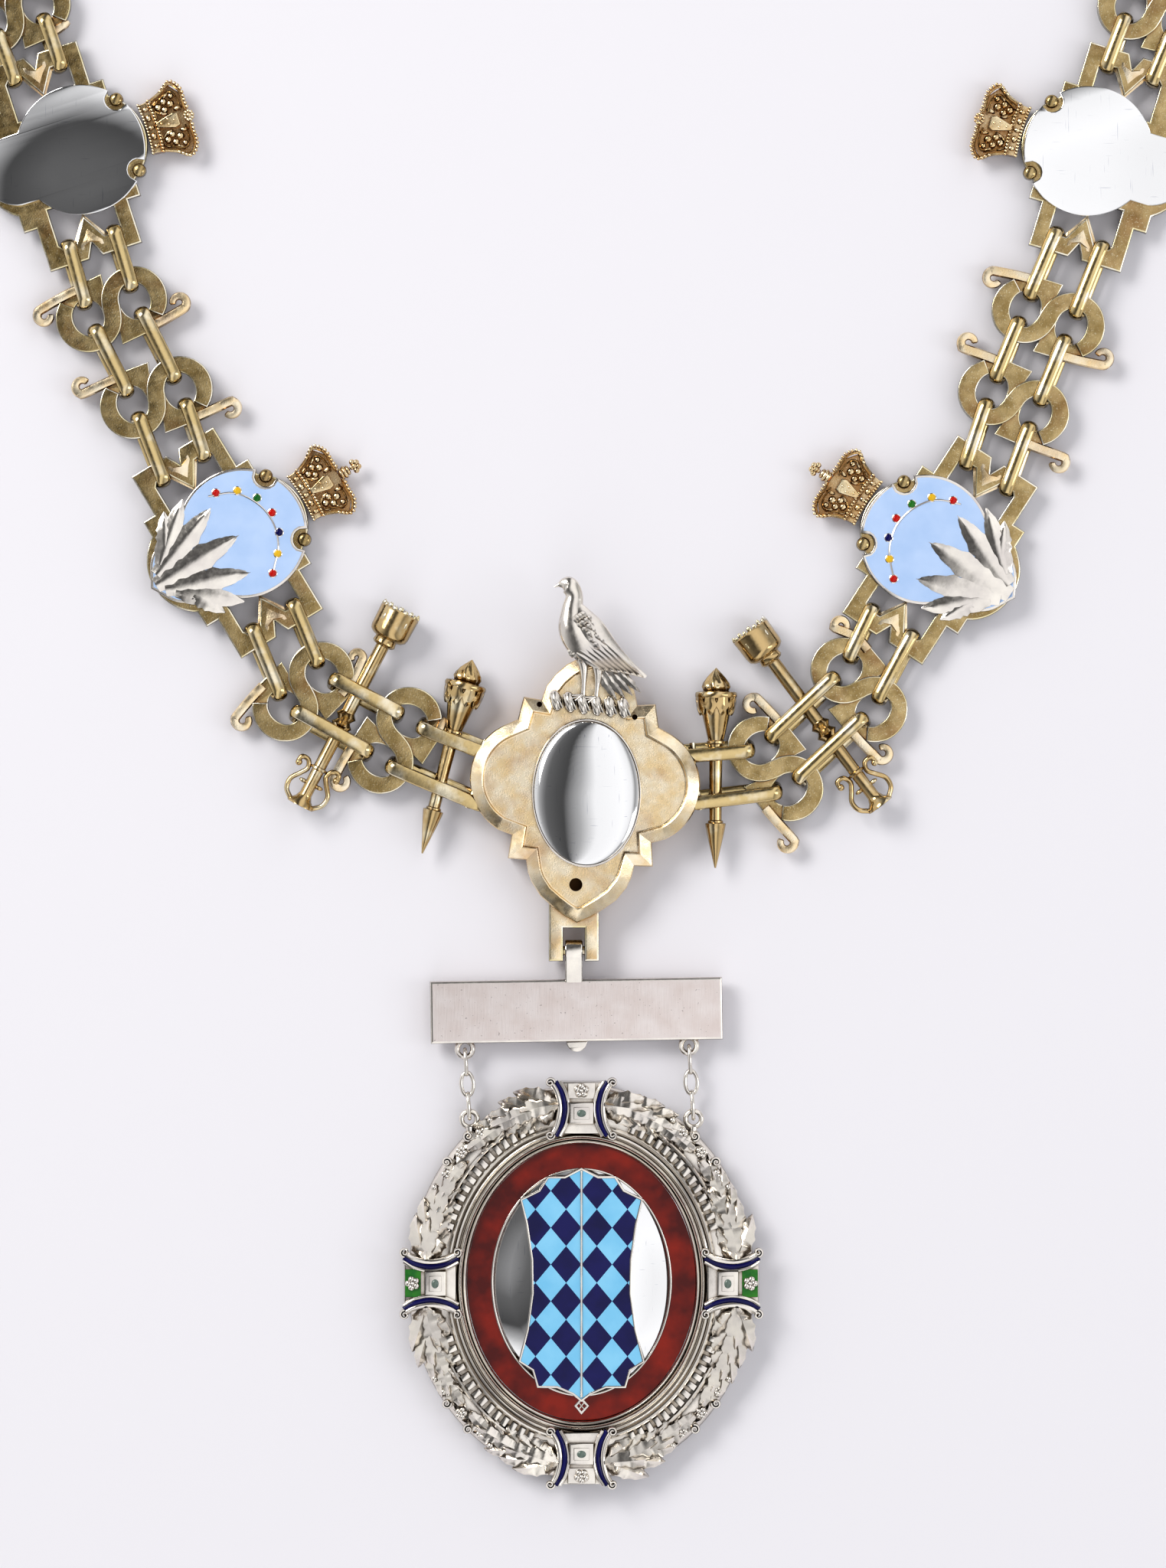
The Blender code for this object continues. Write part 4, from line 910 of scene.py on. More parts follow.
def crown_beads(work, points, radius, every, height, matrix):
    """A row of beads along a path, spaced evenly."""
    path = smooth_path([(x, y, height) for x, y in points], 24)
    run = 0.0
    crown_ball(work, path[0], radius, matrix)
    for first, second in zip(path, path[1:]):
        run += (second - first).length
        if run >= every:
            crown_ball(work, second, radius, matrix)
            run = 0.0


def crown_band(work, matrix):
    """The jewelled band at the foot, bowed, between two rows of beads."""
    start = CROWN_START
    across = (-CROWN_BASE, -2.5, 0, 2.5, CROWN_BASE)
    base = [(start + 0.35 * (1 - (y / CROWN_BASE) ** 2), y) for y in across]
    top = [(x + 2.5, y * 1.05) for x, y in base]
    flat(work, [base + top[::-1]], 0.5, CROWN_TOP - 0.7, 0.15, CROWN_SLOT, None, matrix)
    for row, lift in ((base, 0.25), (top, -0.15)):
        shifted = [(x + lift, y) for x, y in row]
        crown_beads(work, shifted, 0.3, 0.58, CROWN_TOP - 0.35, matrix)
    crown_bar(work, [(x - 0.55, y) for x, y in top], 0.3, 0.5, CROWN_TOP - 0.45, matrix)
    for index in range(-2, 3):
        spot = (start + 1.45, index * 1.85, CROWN_TOP - 0.6)
        shape = (0.55, 0.75, 0.7) if index % 2 else (0.7, 0.5, 0.7)
        crown_ball(work, spot, 1.0, matrix, 4, shape)


CROWN_LEAF_BALLS = (
    (1.2, 3.3, 0.8), (2.5, 4.1, 0.75), (2.3, 2.5, 0.75), (3.7, 3.3, 0.85), (4.2, 4.8, 0.6),
)
CROWN_STALKS = ((0.8, 4.3, 30), (1.8, 1.9, -20), (4.8, 2.2, 10), (3.2, 5.3, 40))
CROWN_ORB = (
    (2.5, 0, 0.55), (3.0, 0.9, 0.62), (3.0, -0.9, 0.62), (3.7, 0.45, 0.62), (3.7, -0.45, 0.62),
)


def crown_arch(work, sign, matrix):
    """One outer arch with beads outside, and its inner line."""
    start, top = CROWN_START + 2.7, CROWN_START + CROWN_TALL
    points = [(start, sign * 5.0), (start + 2.2, sign * 5.9), (top - 2.3, sign * CROWN_WIDE),
              (top - 0.6, sign * 5.4), (top - 0.5, sign * 2.6), (top - 0.3, sign * 0.9)]
    crown_bar(work, points, 0.75, 1.6, CROWN_TOP - 0.9, matrix)
    outside = [(x + 0.35, y + sign * 0.3) for x, y in points[1:]]
    crown_beads(work, outside, 0.34, 0.72, CROWN_TOP - 0.3, matrix)
    inner = [(start + 0.3, sign * 4.0), (top - 2.9, sign * 5.7),
             (top - 1.5, sign * 4.4), (top - 1.4, sign * 1.4)]
    crown_bar(work, inner, 0.35, 1.0, CROWN_TOP - 0.7, matrix)
    for x, y, radius in CROWN_LEAF_BALLS:
        crown_ball(work, (start + x, sign * y, CROWN_TOP - 0.9), radius, matrix, 5, (1, 1, 1.1))
    for x, y, angle in CROWN_STALKS:
        stalk = matrix @ place(start + x, sign * y, sign * angle, CROWN_TOP - 0.95)
        crown_ball(work, (0, 0, 0), 0.55, stalk, 4, (1.8, 0.7, 0.9))
    scroll = [(start + 0.2, sign * 1.4), (start + 0.3, sign * 2.7), (start + 1.3, sign * 1.9)]
    crown_bar(work, scroll, 0.32, 0.7, CROWN_TOP - 0.5, matrix)


def crown(work, matrix, with_cross):
    """A whole crown; some have a tall cross on the orb and the rest a ring of beads."""
    start, top = CROWN_START + 2.7, CROWN_START + CROWN_TALL
    lower = [(start - 1.0, -4.6), (start, -4.9), (top - 2.4, -CROWN_WIDE + 0.2), (top - 0.6, -4.9)]
    back = lower + [(top - 0.4, 0.0)] + flipped(lower)
    flat(work, [back], 0.5, CROWN_TOP - 1.45, 0.2, CROWN_SLOT, None, matrix)
    crown_band(work, matrix)
    for sign in (1, -1):
        crown_arch(work, sign, matrix)
    flank = [(start - 0.1, -0.5), (start + 3.4, -1.5), (start + 4.4, -1.2)]
    cross = flank + flipped(flank)
    flat(work, [cross], CROWN_TOP - 1.9, CROWN_TOP + 0.25, 0.25, CROWN_SLOT, None, matrix)
    for x, y in ((0.9, 0.0), (2.3, 0.55), (2.3, -0.55), (3.5, 0.0)):
        crown_ball(work, (start + x, y, CROWN_TOP + 0.2), 0.28, matrix)
    if not with_cross:
        for angle in turns(9):
            spot = (top - 0.2 + 0.75 * math.cos(angle), 0.9 * math.sin(angle), CROWN_TOP - 0.2)
            crown_ball(work, spot, 0.36, matrix)
        crown_ball(work, (top - 0.2, 0, CROWN_TOP), 0.5, matrix, 5)
        return
    for x, radius in ((0.1, 1.25), (0.8, 1.35), (1.5, 1.05)):
        crown_ball(work, (top + x, 0, CROWN_TOP - 1.0), radius, matrix, 6, (0.45, 1, 0.8))
    for x, y, radius in CROWN_ORB:
        crown_ball(work, (top + x, y, CROWN_TOP - 0.9), radius, matrix, 5)
    crown_ball(work, (top + 3.0, 0, CROWN_TOP - 0.5), 0.5, matrix, 5)


FRAME_FINISHES = [GILT_FLAT, GILT_EDGE, GILT_PALE, GILT_CROWN]
for link in FRONT:
    if link["kind"] == "F":
        work = bmesh.new()
        frame_link(work, link, link["name"].endswith("1"))
        finish(work, link["name"] + "_form", FRAME_FINISHES, [link["name"]], 30)
print("frame links in front are made, crowns included")

# %% [markdown]
# The round plates are silver discs with an enamelled front: a plain sheaf of ribbed silver
# leaves and a row of enamel berries on light blue. One leaf function serves them and the
# wreath of the badge: a pointed sheet with a midrib and side ribs.

# %% Leaves
def leaf(work, base, heading, long, wide, tall, slot=0, curl=0.0, ribs=5, matrix=None):
    """A ribbed leaf lying on its base point's height and pointing to a heading."""
    across, steps = (-1.0, -0.72, -0.38, 0.0, 0.38, 0.72, 1.0), 12
    spot = Vector(base[:2])
    rows = []
    part = bmesh.new()
    for index in range(steps + 1):
        t = index / steps
        ahead = unit(math.radians(heading + curl * t))
        side = Vector((-ahead.y, ahead.x))
        half = wide / 2 * math.sin(math.pi * min(0.995, 0.12 + 0.88 * t ** 0.85)) ** 0.7
        half *= 1 + 0.13 * math.cos(ribs * math.tau * t)
        lift = tall * math.sin(math.pi * min(1.0, 0.2 + 0.8 * t)) ** 0.6
        row = []
        for v in across:
            rib = 0.16 * tall * math.cos(ribs * math.tau * t - 2.4 * abs(v)) * abs(v)
            ridge = 0.22 * tall if v == 0 else 0.0
            z = base[2] + lift * (1 - 0.62 * abs(v) ** 1.7) + rib + ridge
            row.append(part.verts.new((*(spot + side * (v * half)), z)))
        rows.append(row)
        spot = spot + ahead * (long / steps)
    for first, second in zip(rows, rows[1:]):
        for index in range(len(across) - 1):
            corners = (first[index], second[index], second[index + 1], first[index + 1])
            part.faces.new(corners)
    rim = [row[0] for row in rows] + [row[-1] for row in reversed(rows)]
    lower = [part.verts.new((vertex.co.x, vertex.co.y, base[2] - 0.15)) for vertex in rim]
    for index in range(len(rim)):
        after = (index + 1) % len(rim)
        part.faces.new((rim[index], rim[after], lower[after], lower[index]))
    close_up(work, part, slot, matrix)


# %% Enamelled plates
def plate_outline():
    """A disc with a bite round each stud and a pointed tail on the outer side."""
    notch = STUD_RADIUS + 0.45
    gap_angle = math.degrees(2 * math.asin(notch / (2 * PLATE_RADIUS)))
    middle = unit(math.radians(STUD_ANGLE)) * STUD_CIRCLE
    upper = arc((0.0, 0.0), PLATE_RADIUS, 0, STUD_ANGLE - gap_angle, 9)
    upper += arc(middle, notch, STUD_ANGLE - 100, STUD_ANGLE - 260, 9)[1:-1]
    upper += arc((0.0, 0.0), PLATE_RADIUS, STUD_ANGLE + gap_angle, 147, 28)
    upper += arc((-13.0, 0.0), 7.0, 100, 158, 9)
    return upper + [(-21.0, 0.0)] + flipped(upper[1:])


SHEAF = (
    (-15.0, 4.0, 62, 8.5, 3.6), (-17.0, 3.0, 40, 13.5, 4.4), (-18.6, 1.6, 20, 17.0, 5.0),
    (-19.8, 0.0, 0, 19.0, 5.4),
)
STEM = ((-2.0, 9.6), (2.6, 7.6), (5.4, 3.6), (6.2, -1.0), (4.8, -5.6), (1.4, -9.4))
SCARLET_SLOT, YELLOW_SLOT, GREEN_SLOT, NAVY_SLOT = 2, 3, 4, 5
BERRIES = (
    (-0.4, 9.4, SCARLET_SLOT), (3.4, 7.6, YELLOW_SLOT), (6.0, 4.4, GREEN_SLOT),
    (7.0, 0.4, SCARLET_SLOT), (6.2, -3.6, NAVY_SLOT), (3.8, -7.0, YELLOW_SLOT),
    (1.0, -9.8, SCARLET_SLOT),
)


def plate_form(work, matrix, bare):
    """A plate; one that isn't bare has an enamel field with its sheaf and berries."""
    outline = plate_outline()
    flat(work, [outline], PLATE_FLOOR, PLATE_TOP - 0.1, 0.28, 0, None, matrix)
    if bare:
        return
    field = inset(outline, 0.55)
    flat(work, [field], PLATE_TOP - 0.4, PLATE_TOP - 0.02, 0.08, 1, None, matrix)
    for x, y, heading, long, wide in SHEAF:
        for sign in ((1, -1) if heading else (1,)):
            base = (x, sign * y, PLATE_TOP - 0.1)
            leaf(work, base, sign * heading, long, wide, 0.5, ribs=7, matrix=matrix)
    path = smooth_path([(x, y, PLATE_TOP) for x, y in STEM], 5)
    sweep(work, path, 0.35, 0.3, 6, matrix=matrix)
    for x, y, slot in BERRIES:
        ball(work, (x, y, PLATE_TOP - 0.05), 0.8, slot, (1, 1, 0.4), matrix, 6)
        ball(work, (x, y, PLATE_TOP - 0.08), 1.0, 0, (1, 1, 0.18), matrix, 6)


PLATE_SKY = [SILVER, ENAMEL_SKY, ENAMEL_SCARLET, ENAMEL_YELLOW, ENAMEL_GREEN, ENAMEL_NAVY]
for link in LINKS:
    if link["kind"] == "F":
        work = bmesh.new()
        bare = link["name"] in ("frame_left_2", "frame_right_2")
        side = Matrix.Diagonal((link["side"], 1, 1, 1)) @ place(PLATE_OFFSET, 0)
        plate_form(work, link_matrix(link) @ side, bare)
        name = link["name"].replace("frame", "plate")
        finish(work, name + "_form", [SILVER_MIRROR] if bare else PLATE_SKY, [name])
print("plates are made")

# %% [markdown]
# The stretch behind the neck is out of the photograph. It is the same links and rings, joined
# to one piece on each side, because nobody looks for its parts one by one.

# %% Stretch behind the neck
def same_side(first, second):
    """1 where two links face the same way along the chain, and -1 where one is turned."""
    return 1 if math.cos(math.radians(first["turn"] - second["turn"])) >= 0 else -1


def back_chain(name, chain, own):
    """Joined links and rings; the end links that are not its own stay out."""
    work = bmesh.new()
    for link in own:
        if link["kind"] == "S":
            s_link(work, ("stub", "stub"), link_matrix(link))
        else:
            frame_link(work, link, False)
    for first, second in zip(chain, chain[1:]):
        for sign in (1, -1):
            signs = (sign, sign * same_side(first, second))
            ring_between(work, first, second, signs, RING_TALL, 4)
    finish(work, name + "_form", FRAME_FINISHES + [GILT_RING], [name], 30)


LAST = FRONT_COUNT - 1
left_own = LINKS[LAST + 1:MIDDLE + 1]
back_chain("back_chain_left", [LINKS[LAST]] + left_own, left_own)
right_own = LINKS[MIDDLE + 1:-FRONT_COUNT][::-1]
back_chain("back_chain_right", [LINKS[-FRONT_COUNT]] + right_own + [LINKS[MIDDLE]], right_own)

# %% [markdown]
# The plaque is the thick middle piece. It has a sloping rim round a slightly sunk face, and
# it was cast hollow below so that the ring ends go under it. Loops of its outline, each moved
# inwards and to its own height, give the rim, and booleans cut the pockets and small holes.

# %% Plaque
def cut(work, cutter):
    """Takes one bmesh out of another with a Boolean modifier."""
    things = []
    for part in (work, cutter):
        mesh = bpy.data.meshes.new("cut")
        part.to_mesh(mesh)
        part.free()
        things.append(show("cut", mesh))
    change = things[0].modifiers.new("cut", "BOOLEAN")
    change.operation = "DIFFERENCE"
    change.object = things[1]
    change.solver = "EXACT"
    changed = things[0].evaluated_get(bpy.context.evaluated_depsgraph_get())
    result = bmesh.new()
    result.from_mesh(changed.to_mesh())
    for thing in things:
        bpy.data.objects.remove(thing)
    return result


def plaque_outline():
    """Pointed top and foot, four square ears and a round lobe on each side."""
    right = [
        (0.0, 26.4), (2.4, 25.6), (4.8, 24.2), (6.9, 22.2), (8.6, 19.8), (9.4, 17.0),
        (12.9, 17.4), (13.8, 12.9),
    ]
    right += arc((10.9, 1.4), 11.6, 66, -62, 30)
    right += [
        (13.7, -9.7), (14.2, -14.3), (10.6, -14.4), (10.1, -16.8), (9.3, -18.7),
        (7.4, -21.3), (5.0, -23.2), (2.5, -24.9),
    ]
    return right + [(0.0, -26.1)] + mirrored(right[1:])


def rectangle(left, low, right, high):
    return [(left, low), (right, low), (right, high), (left, high)]


def box(work, low, high, matrix=None, slot=0, bevel=0.0):
    """A block between two opposite corners."""
    outline = rectangle(*low[:2], *high[:2])
    if bevel:
        flat(work, [outline], low[2], high[2], bevel, slot, None, matrix)
    else:
        skin(work, [[(x, y, z) for x, y in outline] for z in (low[2], high[2])], slot, matrix=matrix)


PLAQUE_TURN = -3.3
PLAQUE_RIM = (
    (0.5, 0.0), (0.05, 0.4), (0.0, 7.3), (0.2, 7.7), (2.0, 8.75), (2.3, 8.88), (2.5, 8.8),
    (2.7, 8.45), (3.0, 8.35),
)
TARNISH_AND_SHADE_SLOT = 2
PLAQUE_HOLES = ((-8.8, 16.6, 0.55), (9.8, 14.1, 0.55), (-1.7, -18.6, 1.3))
work = bmesh.new()
outline = plaque_outline()[::-1]
loops = [[(x, y, height) for x, y in inset(outline, distance)] for distance, height in PLAQUE_RIM]
skin(work, loops, matrix=place(0.0, 0.0, PLAQUE_TURN))
cutter = bmesh.new()
for matrix in PLAQUE_SLOTS:
    box(cutter, (-7.0, -1.65, -1.0), (1.8, 1.65, 7.7), matrix)
# The bores' walls take the dark brown finish: tarnish, and painted shade inside the holes.
for x, y, radius in PLAQUE_HOLES:
    bore = Matrix.Translation((x, y, 0))
    lathe(cutter, [(2.5, radius), (12.0, radius)], 20, TARNISH_AND_SHADE_SLOT, bore)
work = cut(work, cutter)
crossbar = -hook_in(LONG_RING_TALL) - RING_PLAY - 0.6
for matrix in PLAQUE_SLOTS:
    path = [(crossbar, -2.0, 3.7), (crossbar, 2.0, 3.7)]
    sweep(work, path, 1.2, 1.8, 10, slot=1, matrix=matrix)
side = place(-2.1, 0.0)
prong = [(2.1, -27.1), (2.1, -33.6), (4.9, -33.6), (4.9, -20.6)]
flat(work, [prong + mirrored(prong)], 1.9, 6.5, 0.4, 0, 1, side)
sweep(work, [(-3.5, -31.6, 4.2), (3.5, -31.6, 4.2)], 1.8, 1.8, 16, slot=1, matrix=side)
finish(work, "plaque_form", [GILT_PALE, GILT_EDGE, GILT_TARNISH_AND_SHADE], ["plaque"], 25)

work = bmesh.new()
squeeze = Matrix.Diagonal((21.4 / 29.0, 1, 1, 1))
matrix = place(0.4, -0.7, 0.0, PLAQUE_TOP + GAP) @ squeeze
rim = ((0.0, 14.2), (0.25, 14.5), (0.9, 14.5), (1.05, 14.35), (1.05, 14.1), (0.85, 14.0))
lathe(work, rim, 96, 0, matrix)
domed = []
for step in range(90, -1, -5):
    angle = math.radians(step)
    domed.append((0.8 + 1.5 * math.cos(angle) ** 0.8, 14.02 * math.sin(angle)))
lathe(work, domed, 96, 1, matrix)
finish(work, "plaque_oval_form", [SILVER, SILVER_MIRROR], ["plaque_oval"])
print("plaque and its oval are made")

# %% [markdown]
# The bird was cast in silver and its feathers were cut with a graver. A smooth swept body
# carries separate ribbed leaves for feathers: small ones in rows on the shoulder, long ones
# for the wing's tip and the tail. It stands on a roll of twisted cloth.

# %% Bird
BIRD_FLOOR = PLAQUE_TOP + GAP
BIRD_MIDDLE = BIRD_FLOOR + 1.95
BIRD_BODY = (
    (-5.9, 39.4, 0.12), (-5.0, 39.8, 0.45), (-4.0, 40.0, 1.25), (-2.9, 39.6, 1.75),
    (-2.0, 37.7, 1.7), (-2.4, 34.6, 2.2), (-2.2, 31.0, 2.9), (0.0, 27.8, 3.0), (3.6, 25.4, 2.2),
    (7.6, 23.6, 1.2), (9.6, 22.8, 0.5),
)
WING = (
    (-2.0, 36.6, 0.7), (-1.2, 34.6, 1.9), (0.0, 32.0, 3.1), (1.6, 29.6, 3.4), (4.4, 26.8, 2.7),
    (8.2, 24.0, 1.5), (12.0, 21.9, 0.3),
)


def swelling(work, points, height, tall):
    """A smooth body along (x, y, half-width) points."""
    path = smooth_path([Vector(point) for point in points], 6)
    spots = [(spot.x, spot.y, height) for spot in path]
    sweep(work, spots, 2.0, tall, 20, sizes=[max(spot.z, 0.1) for spot in path])


work = bmesh.new()
swelling(work, BIRD_BODY, BIRD_MIDDLE, 1.24)
for height in (1, -1):
    ball(work, (-3.3, 40.0, BIRD_MIDDLE + height * 0.9), 0.34, 0, (1, 1, 0.7))
swelling(work, WING, BIRD_FLOOR + 2.3, 0.85)
for row in range(6):
    for index in range(4):
        along = 1.4 + row * 1.25
        beside = (index - 1.5) * (0.6 + 0.16 * row) + (0.3 if row % 2 else 0.0)
        x = -2.2 + along * 0.56 + beside * 0.83
        y = 35.2 - along * 0.83 + beside * 0.56
        sink = 0.2 * beside * beside
        leaf(work, (x, y, BIRD_FLOOR + 3.35 - sink), -54 + row, 2.1, 1.2, 0.55, 0, 0, 1)
for index in range(7):
    base = (2.6 - index * 0.7, 29.8 - index * 0.55, BIRD_FLOOR + 2.95 + 0.06 * index)
    leaf(work, base, -43 + index * 1.6, 12.0 - index * 0.9, 1.3, 0.55, 0, 2, 1)
for index in range(4):
    base = (4.6 - index * 0.8, 25.4 - index * 0.5, BIRD_FLOOR + 1.9 - index * 0.1)
    leaf(work, base, -48 - index * 4, 9.2 - index * 0.5, 1.8, 0.5, 0, 4, 8)
for row in range(4):
    for index in range(3):
        x, y = -4.3 + index * 0.9 + row * 0.5, 33.4 - row * 1.9 - index * 0.5
        leaf(work, (x, y, BIRD_FLOOR + 2.6 + 0.25 * index), -78, 2.2, 1.3, 0.35, 0, 0, 3)
for top, foot in (((-0.8, 27.0), (-0.3, 18.0)), ((2.2, 25.8), (2.2, 17.6))):
    knee = ((top[0] + foot[0]) / 2 + 0.4, (top[1] + foot[1]) / 2 + 0.6)
    path = smooth_path([(*spot, BIRD_FLOOR + 1.9) for spot in (top, knee, foot)], 6)
    sizes = [1.7 - 1.15 * min(1, 1.5 * index / len(path)) for index in range(len(path))]
    sweep(work, path, 1.8, 1.8, 12, sizes=sizes)
    for degrees in (174, 200, 226):
        angle = math.radians(degrees)
        end = (foot[0] + 2.2 * math.cos(angle), foot[1] + 0.2 + 1.3 * math.sin(angle), BIRD_FLOOR + 2.5)
        sweep(work, [(foot[0], foot[1] + 0.4, BIRD_FLOOR + 2.3), end], 0.6, 0.6, 8, sizes=[1.0, 0.6])
for index in range(6):
    share = index / 5
    spot = (-5.6 + 13.2 * share, 17.3 - 1.5 * share, BIRD_FLOOR + 1.4)
    lobe = place(*spot[:2], 100, spot[2])
    ball(work, (0, 0, 0), 2.15, 0, (1.0, 0.58, 0.66), lobe, 12)
    for shift in (-0.5, 0.1, 0.7):
        path = [(-1.6, shift - 0.5, 0.75), (0.0, shift - 0.1, 1.3), (1.6, shift + 0.1, 0.75)]
        sweep(work, smooth_path(path, 4), 0.45, 0.5, 6, matrix=lobe)
finish(work, "bird_form", [SILVER_CAST], ["bird"], 50)
print("bird is made")

# %% [markdown]
# Two torches and two maces lie behind the links. They were turned on a lathe and then chased,
# so each is a profile turned round its axis, with ridges on the flame, teeth on the mace's
# head and leaves on the torch's cup added round it.

# %% Maces and torches
FLAME = (
    (0.0, 0.05), (0.5, 0.5), (1.2, 1.15), (2.0, 1.85), (2.9, 2.4), (3.7, 2.6), (4.4, 2.3), (4.7, 1.9),
)
TORCH_TURNED = (
    (4.4, 1.9), (4.6, 3.4), (4.8, 4.0), (5.2, 4.15), (5.7, 4.1), (6.0, 3.8), (6.3, 3.3), (8.0, 3.0),
    (11.0, 2.3), (14.2, 1.55), (14.4, 1.8), (14.8, 1.8), (15.0, 1.35), (22.0, 1.25), (29.8, 1.2),
    (30.0, 1.5), (30.3, 1.5), (30.5, 2.05), (31.2, 1.95), (34.0, 1.35), (39.2, 0.15),
)
MACE_TURNED = (
    (1.2, 0.2), (1.2, 3.4), (0.5, 3.6), (0.3, 3.85), (0.6, 4.1), (1.0, 4.05), (4.8, 3.95),
    (5.6, 3.75), (6.2, 3.0), (6.4, 2.3), (6.6, 2.2), (7.4, 2.35), (7.8, 2.0), (8.0, 1.35),
    (22.4, 1.3), (22.7, 1.5), (23.4, 2.1), (24.0, 1.6), (24.4, 1.35), (24.8, 1.6), (25.4, 2.2),
    (26.2, 1.5), (26.6, 1.3), (34.6, 1.25), (34.8, 1.7), (35.2, 1.7), (35.5, 1.25), (40.6, 1.25),
    (41.6, 1.7), (42.4, 2.6), (43.1, 2.75), (43.2, 2.2),
)
MACE_BRACKET = (
    (2.4, 42.6), (3.9, 41.2), (4.1, 39.2), (2.9, 37.4), (2.0, 35.9), (2.6, 34.4), (4.0, 34.3),
    (4.3, 35.4),
)


def lay_rod(top, foot):
    """Lays a rod's axis from its top to its foot, with room for the links above it."""
    heading = bearing(Vector(foot) - Vector(top))
    return place(*top, heading, ROD_HEIGHT) @ Matrix.Rotation(math.radians(90), 4, "Y")


def round_axis(angle, radius, height=0.0):
    turned = Matrix.Rotation(angle, 4, "Z")
    return turned @ Matrix.Translation((radius, 0, height))


def round_leaves(work, count, along, radius, long, wide, slot, matrix, lean=0.0):
    """Leaves round the axis, hanging towards the rod's foot."""
    tilt = Matrix.Rotation(math.radians(90 - lean), 4, "Y")
    for angle in turns(count):
        stand = matrix @ round_axis(angle, radius, along) @ tilt
        leaf(work, (0, 0, 0), 180, long, wide, 0.45, slot, 0, 2, stand)


def licks(angle, height):
    """Eight ridges that wind up the flame."""
    return 0.9 + 0.2 * abs(math.cos(4 * angle + height * 0.7))


def torch(work, matrix):
    lathe(work, FLAME, 64, 0, matrix, licks)
    lathe(work, TORCH_TURNED, 36, 0, matrix)
    round_leaves(work, 9, 5.4, 3.65, 4.0, 2.5, 0, matrix, 8)


def mace(work, matrix):
    """A turned mace with teeth round its head and a pair of brackets at its foot."""
    lathe(work, MACE_TURNED, 36, 0, matrix)
    for index, angle in enumerate(turns(20)):
        tooth = matrix @ round_axis(angle, 3.8)
        ball(work, (0, 0, 0.3 if index % 2 else 0.0), 0.42, 1, (0.6, 0.85, 1.5), tooth, 4)
        if index % 4 == 0:
            ball(work, (0.15, 0, 2.4), 0.3, 1, (0.4, 0.9, 2.2), tooth, 4)
    for sign in (1, -1):
        path = smooth_path([(0, sign * y, z) for y, z in MACE_BRACKET], 5)
        sweep(work, path, 1.0, 1.0, 10, across=(1, 0, 0), matrix=matrix)
        ball(work, (0, sign * 4.1, 35.6), 0.7, 0, matrix=matrix, rings=6)
        ball(work, (0, sign * 1.7, 38.4), 0.55, 0, (1, 1.6, 0.8), matrix, 6)


RODS = (
    ("mace_left", mace, (-35.9, 35.1), (-56.0, -3.6)),
    ("mace_right", mace, (32.2, 31.3), (58.0, -3.2)),
    ("torch_left", torch, (-22.0, 25.4), (-31.9, -12.9)),
    ("torch_right", torch, (25.8, 23.8), (25.6, -15.6)),
)
for name, build, top, foot in RODS:
    work = bmesh.new()
    build(work, lay_rod(top, foot))
    finish(work, name + "_form", [GILT_ROD, GILT_EDGE], [name], 45)
print("rods are made")

# %% [markdown]
# The name bar is a rolled silver strip with a filed, satin face and bright edges, left bare.
# Wire eyes are soldered under it, and two short chains of drawn wire take the badge.

# %% Name bar and its chains
BAR_PLACE = place(-1.6, -43.3, 0.9, BAR_MIDDLE)
EYE_RADIUS = 1.55
EYE_WIRE = 1.04
EYE_SIDE = 21.95
BAR_EYE = -7.26
BADGE_EYE = 32.0


def eye(work, spot, matrix):
    """A round wire eye, lying flat."""
    path = [(*point, spot[2]) for point in oval(EYE_RADIUS, EYE_RADIUS, 28, spot[:2])]
    sweep(work, path, EYE_WIRE, EYE_WIRE, 12, True, 0, matrix=matrix)


work = bmesh.new()
flat(work, [rectangle(-28.6, -6.1, 28.6, 6.1)], -1.5, 1.5, 0.5, 1, 0, BAR_PLACE)
flat(work, [arc((0.0, -6.0), 2.1, -180, 0, 20)], -0.7, 0.9, 0.2, 0, None, BAR_PLACE)
for sign in (1, -1):
    eye(work, (sign * EYE_SIDE, BAR_EYE, 0.0), BAR_PLACE)
loop = arc((4.2, -31.6), 2.2, -35, 215, 28) + [(2.3, -37.8), (5.5, -37.8)]
hole = oval(1.3, 1.3, 24, (4.2, -31.6))
stand = Matrix(((0, 0, 1, -2.1), (0, 1, 0, 0), (1, 0, 0, 0), (0, 0, 0, 1)))
flat(work, [loop, hole], -1.7, 1.7, 0.3, 0, None, stand)
finish(work, "name_bar_form", [SILVER, SILVER_SATIN], ["name_bar"], 30)

CHAIN_WIRE = 0.8
CHAIN_HALF = 2.3
for side, word in ((-1, "left"), (1, "right")):
    upper = (BAR_PLACE @ Vector((side * EYE_SIDE, BAR_EYE, 0.0))).xy
    lower = BADGE + Vector((side * EYE_SIDE, BADGE_EYE))
    run = lower - upper
    matrix = place(*(lower + upper) / 2, bearing(run), BAR_MIDDLE)
    work = bmesh.new()
    path = [(x, y, 0.0) for x, y in oval(CHAIN_HALF, 1.2, 32)]
    sweep(work, path, CHAIN_WIRE, CHAIN_WIRE, 10, True, 0, matrix=matrix)
    for sign in (1, -1):
        near, far = CHAIN_HALF - 0.48, run.length / 2 - 0.05
        centre, long = sign * (near + far) / 2, (far - near) / 2
        path = [(x, 0.0, z) for x, z in oval(long, 1.2, 32, (centre, 0.0))]
        sweep(work, path, CHAIN_WIRE, CHAIN_WIRE, 10, True, 0, (0, 1, 0), matrix=matrix)
    finish(work, f"side_chain_{word}_form", [SILVER], [f"side_chain_{word}"])
print("bar and small chains are made")

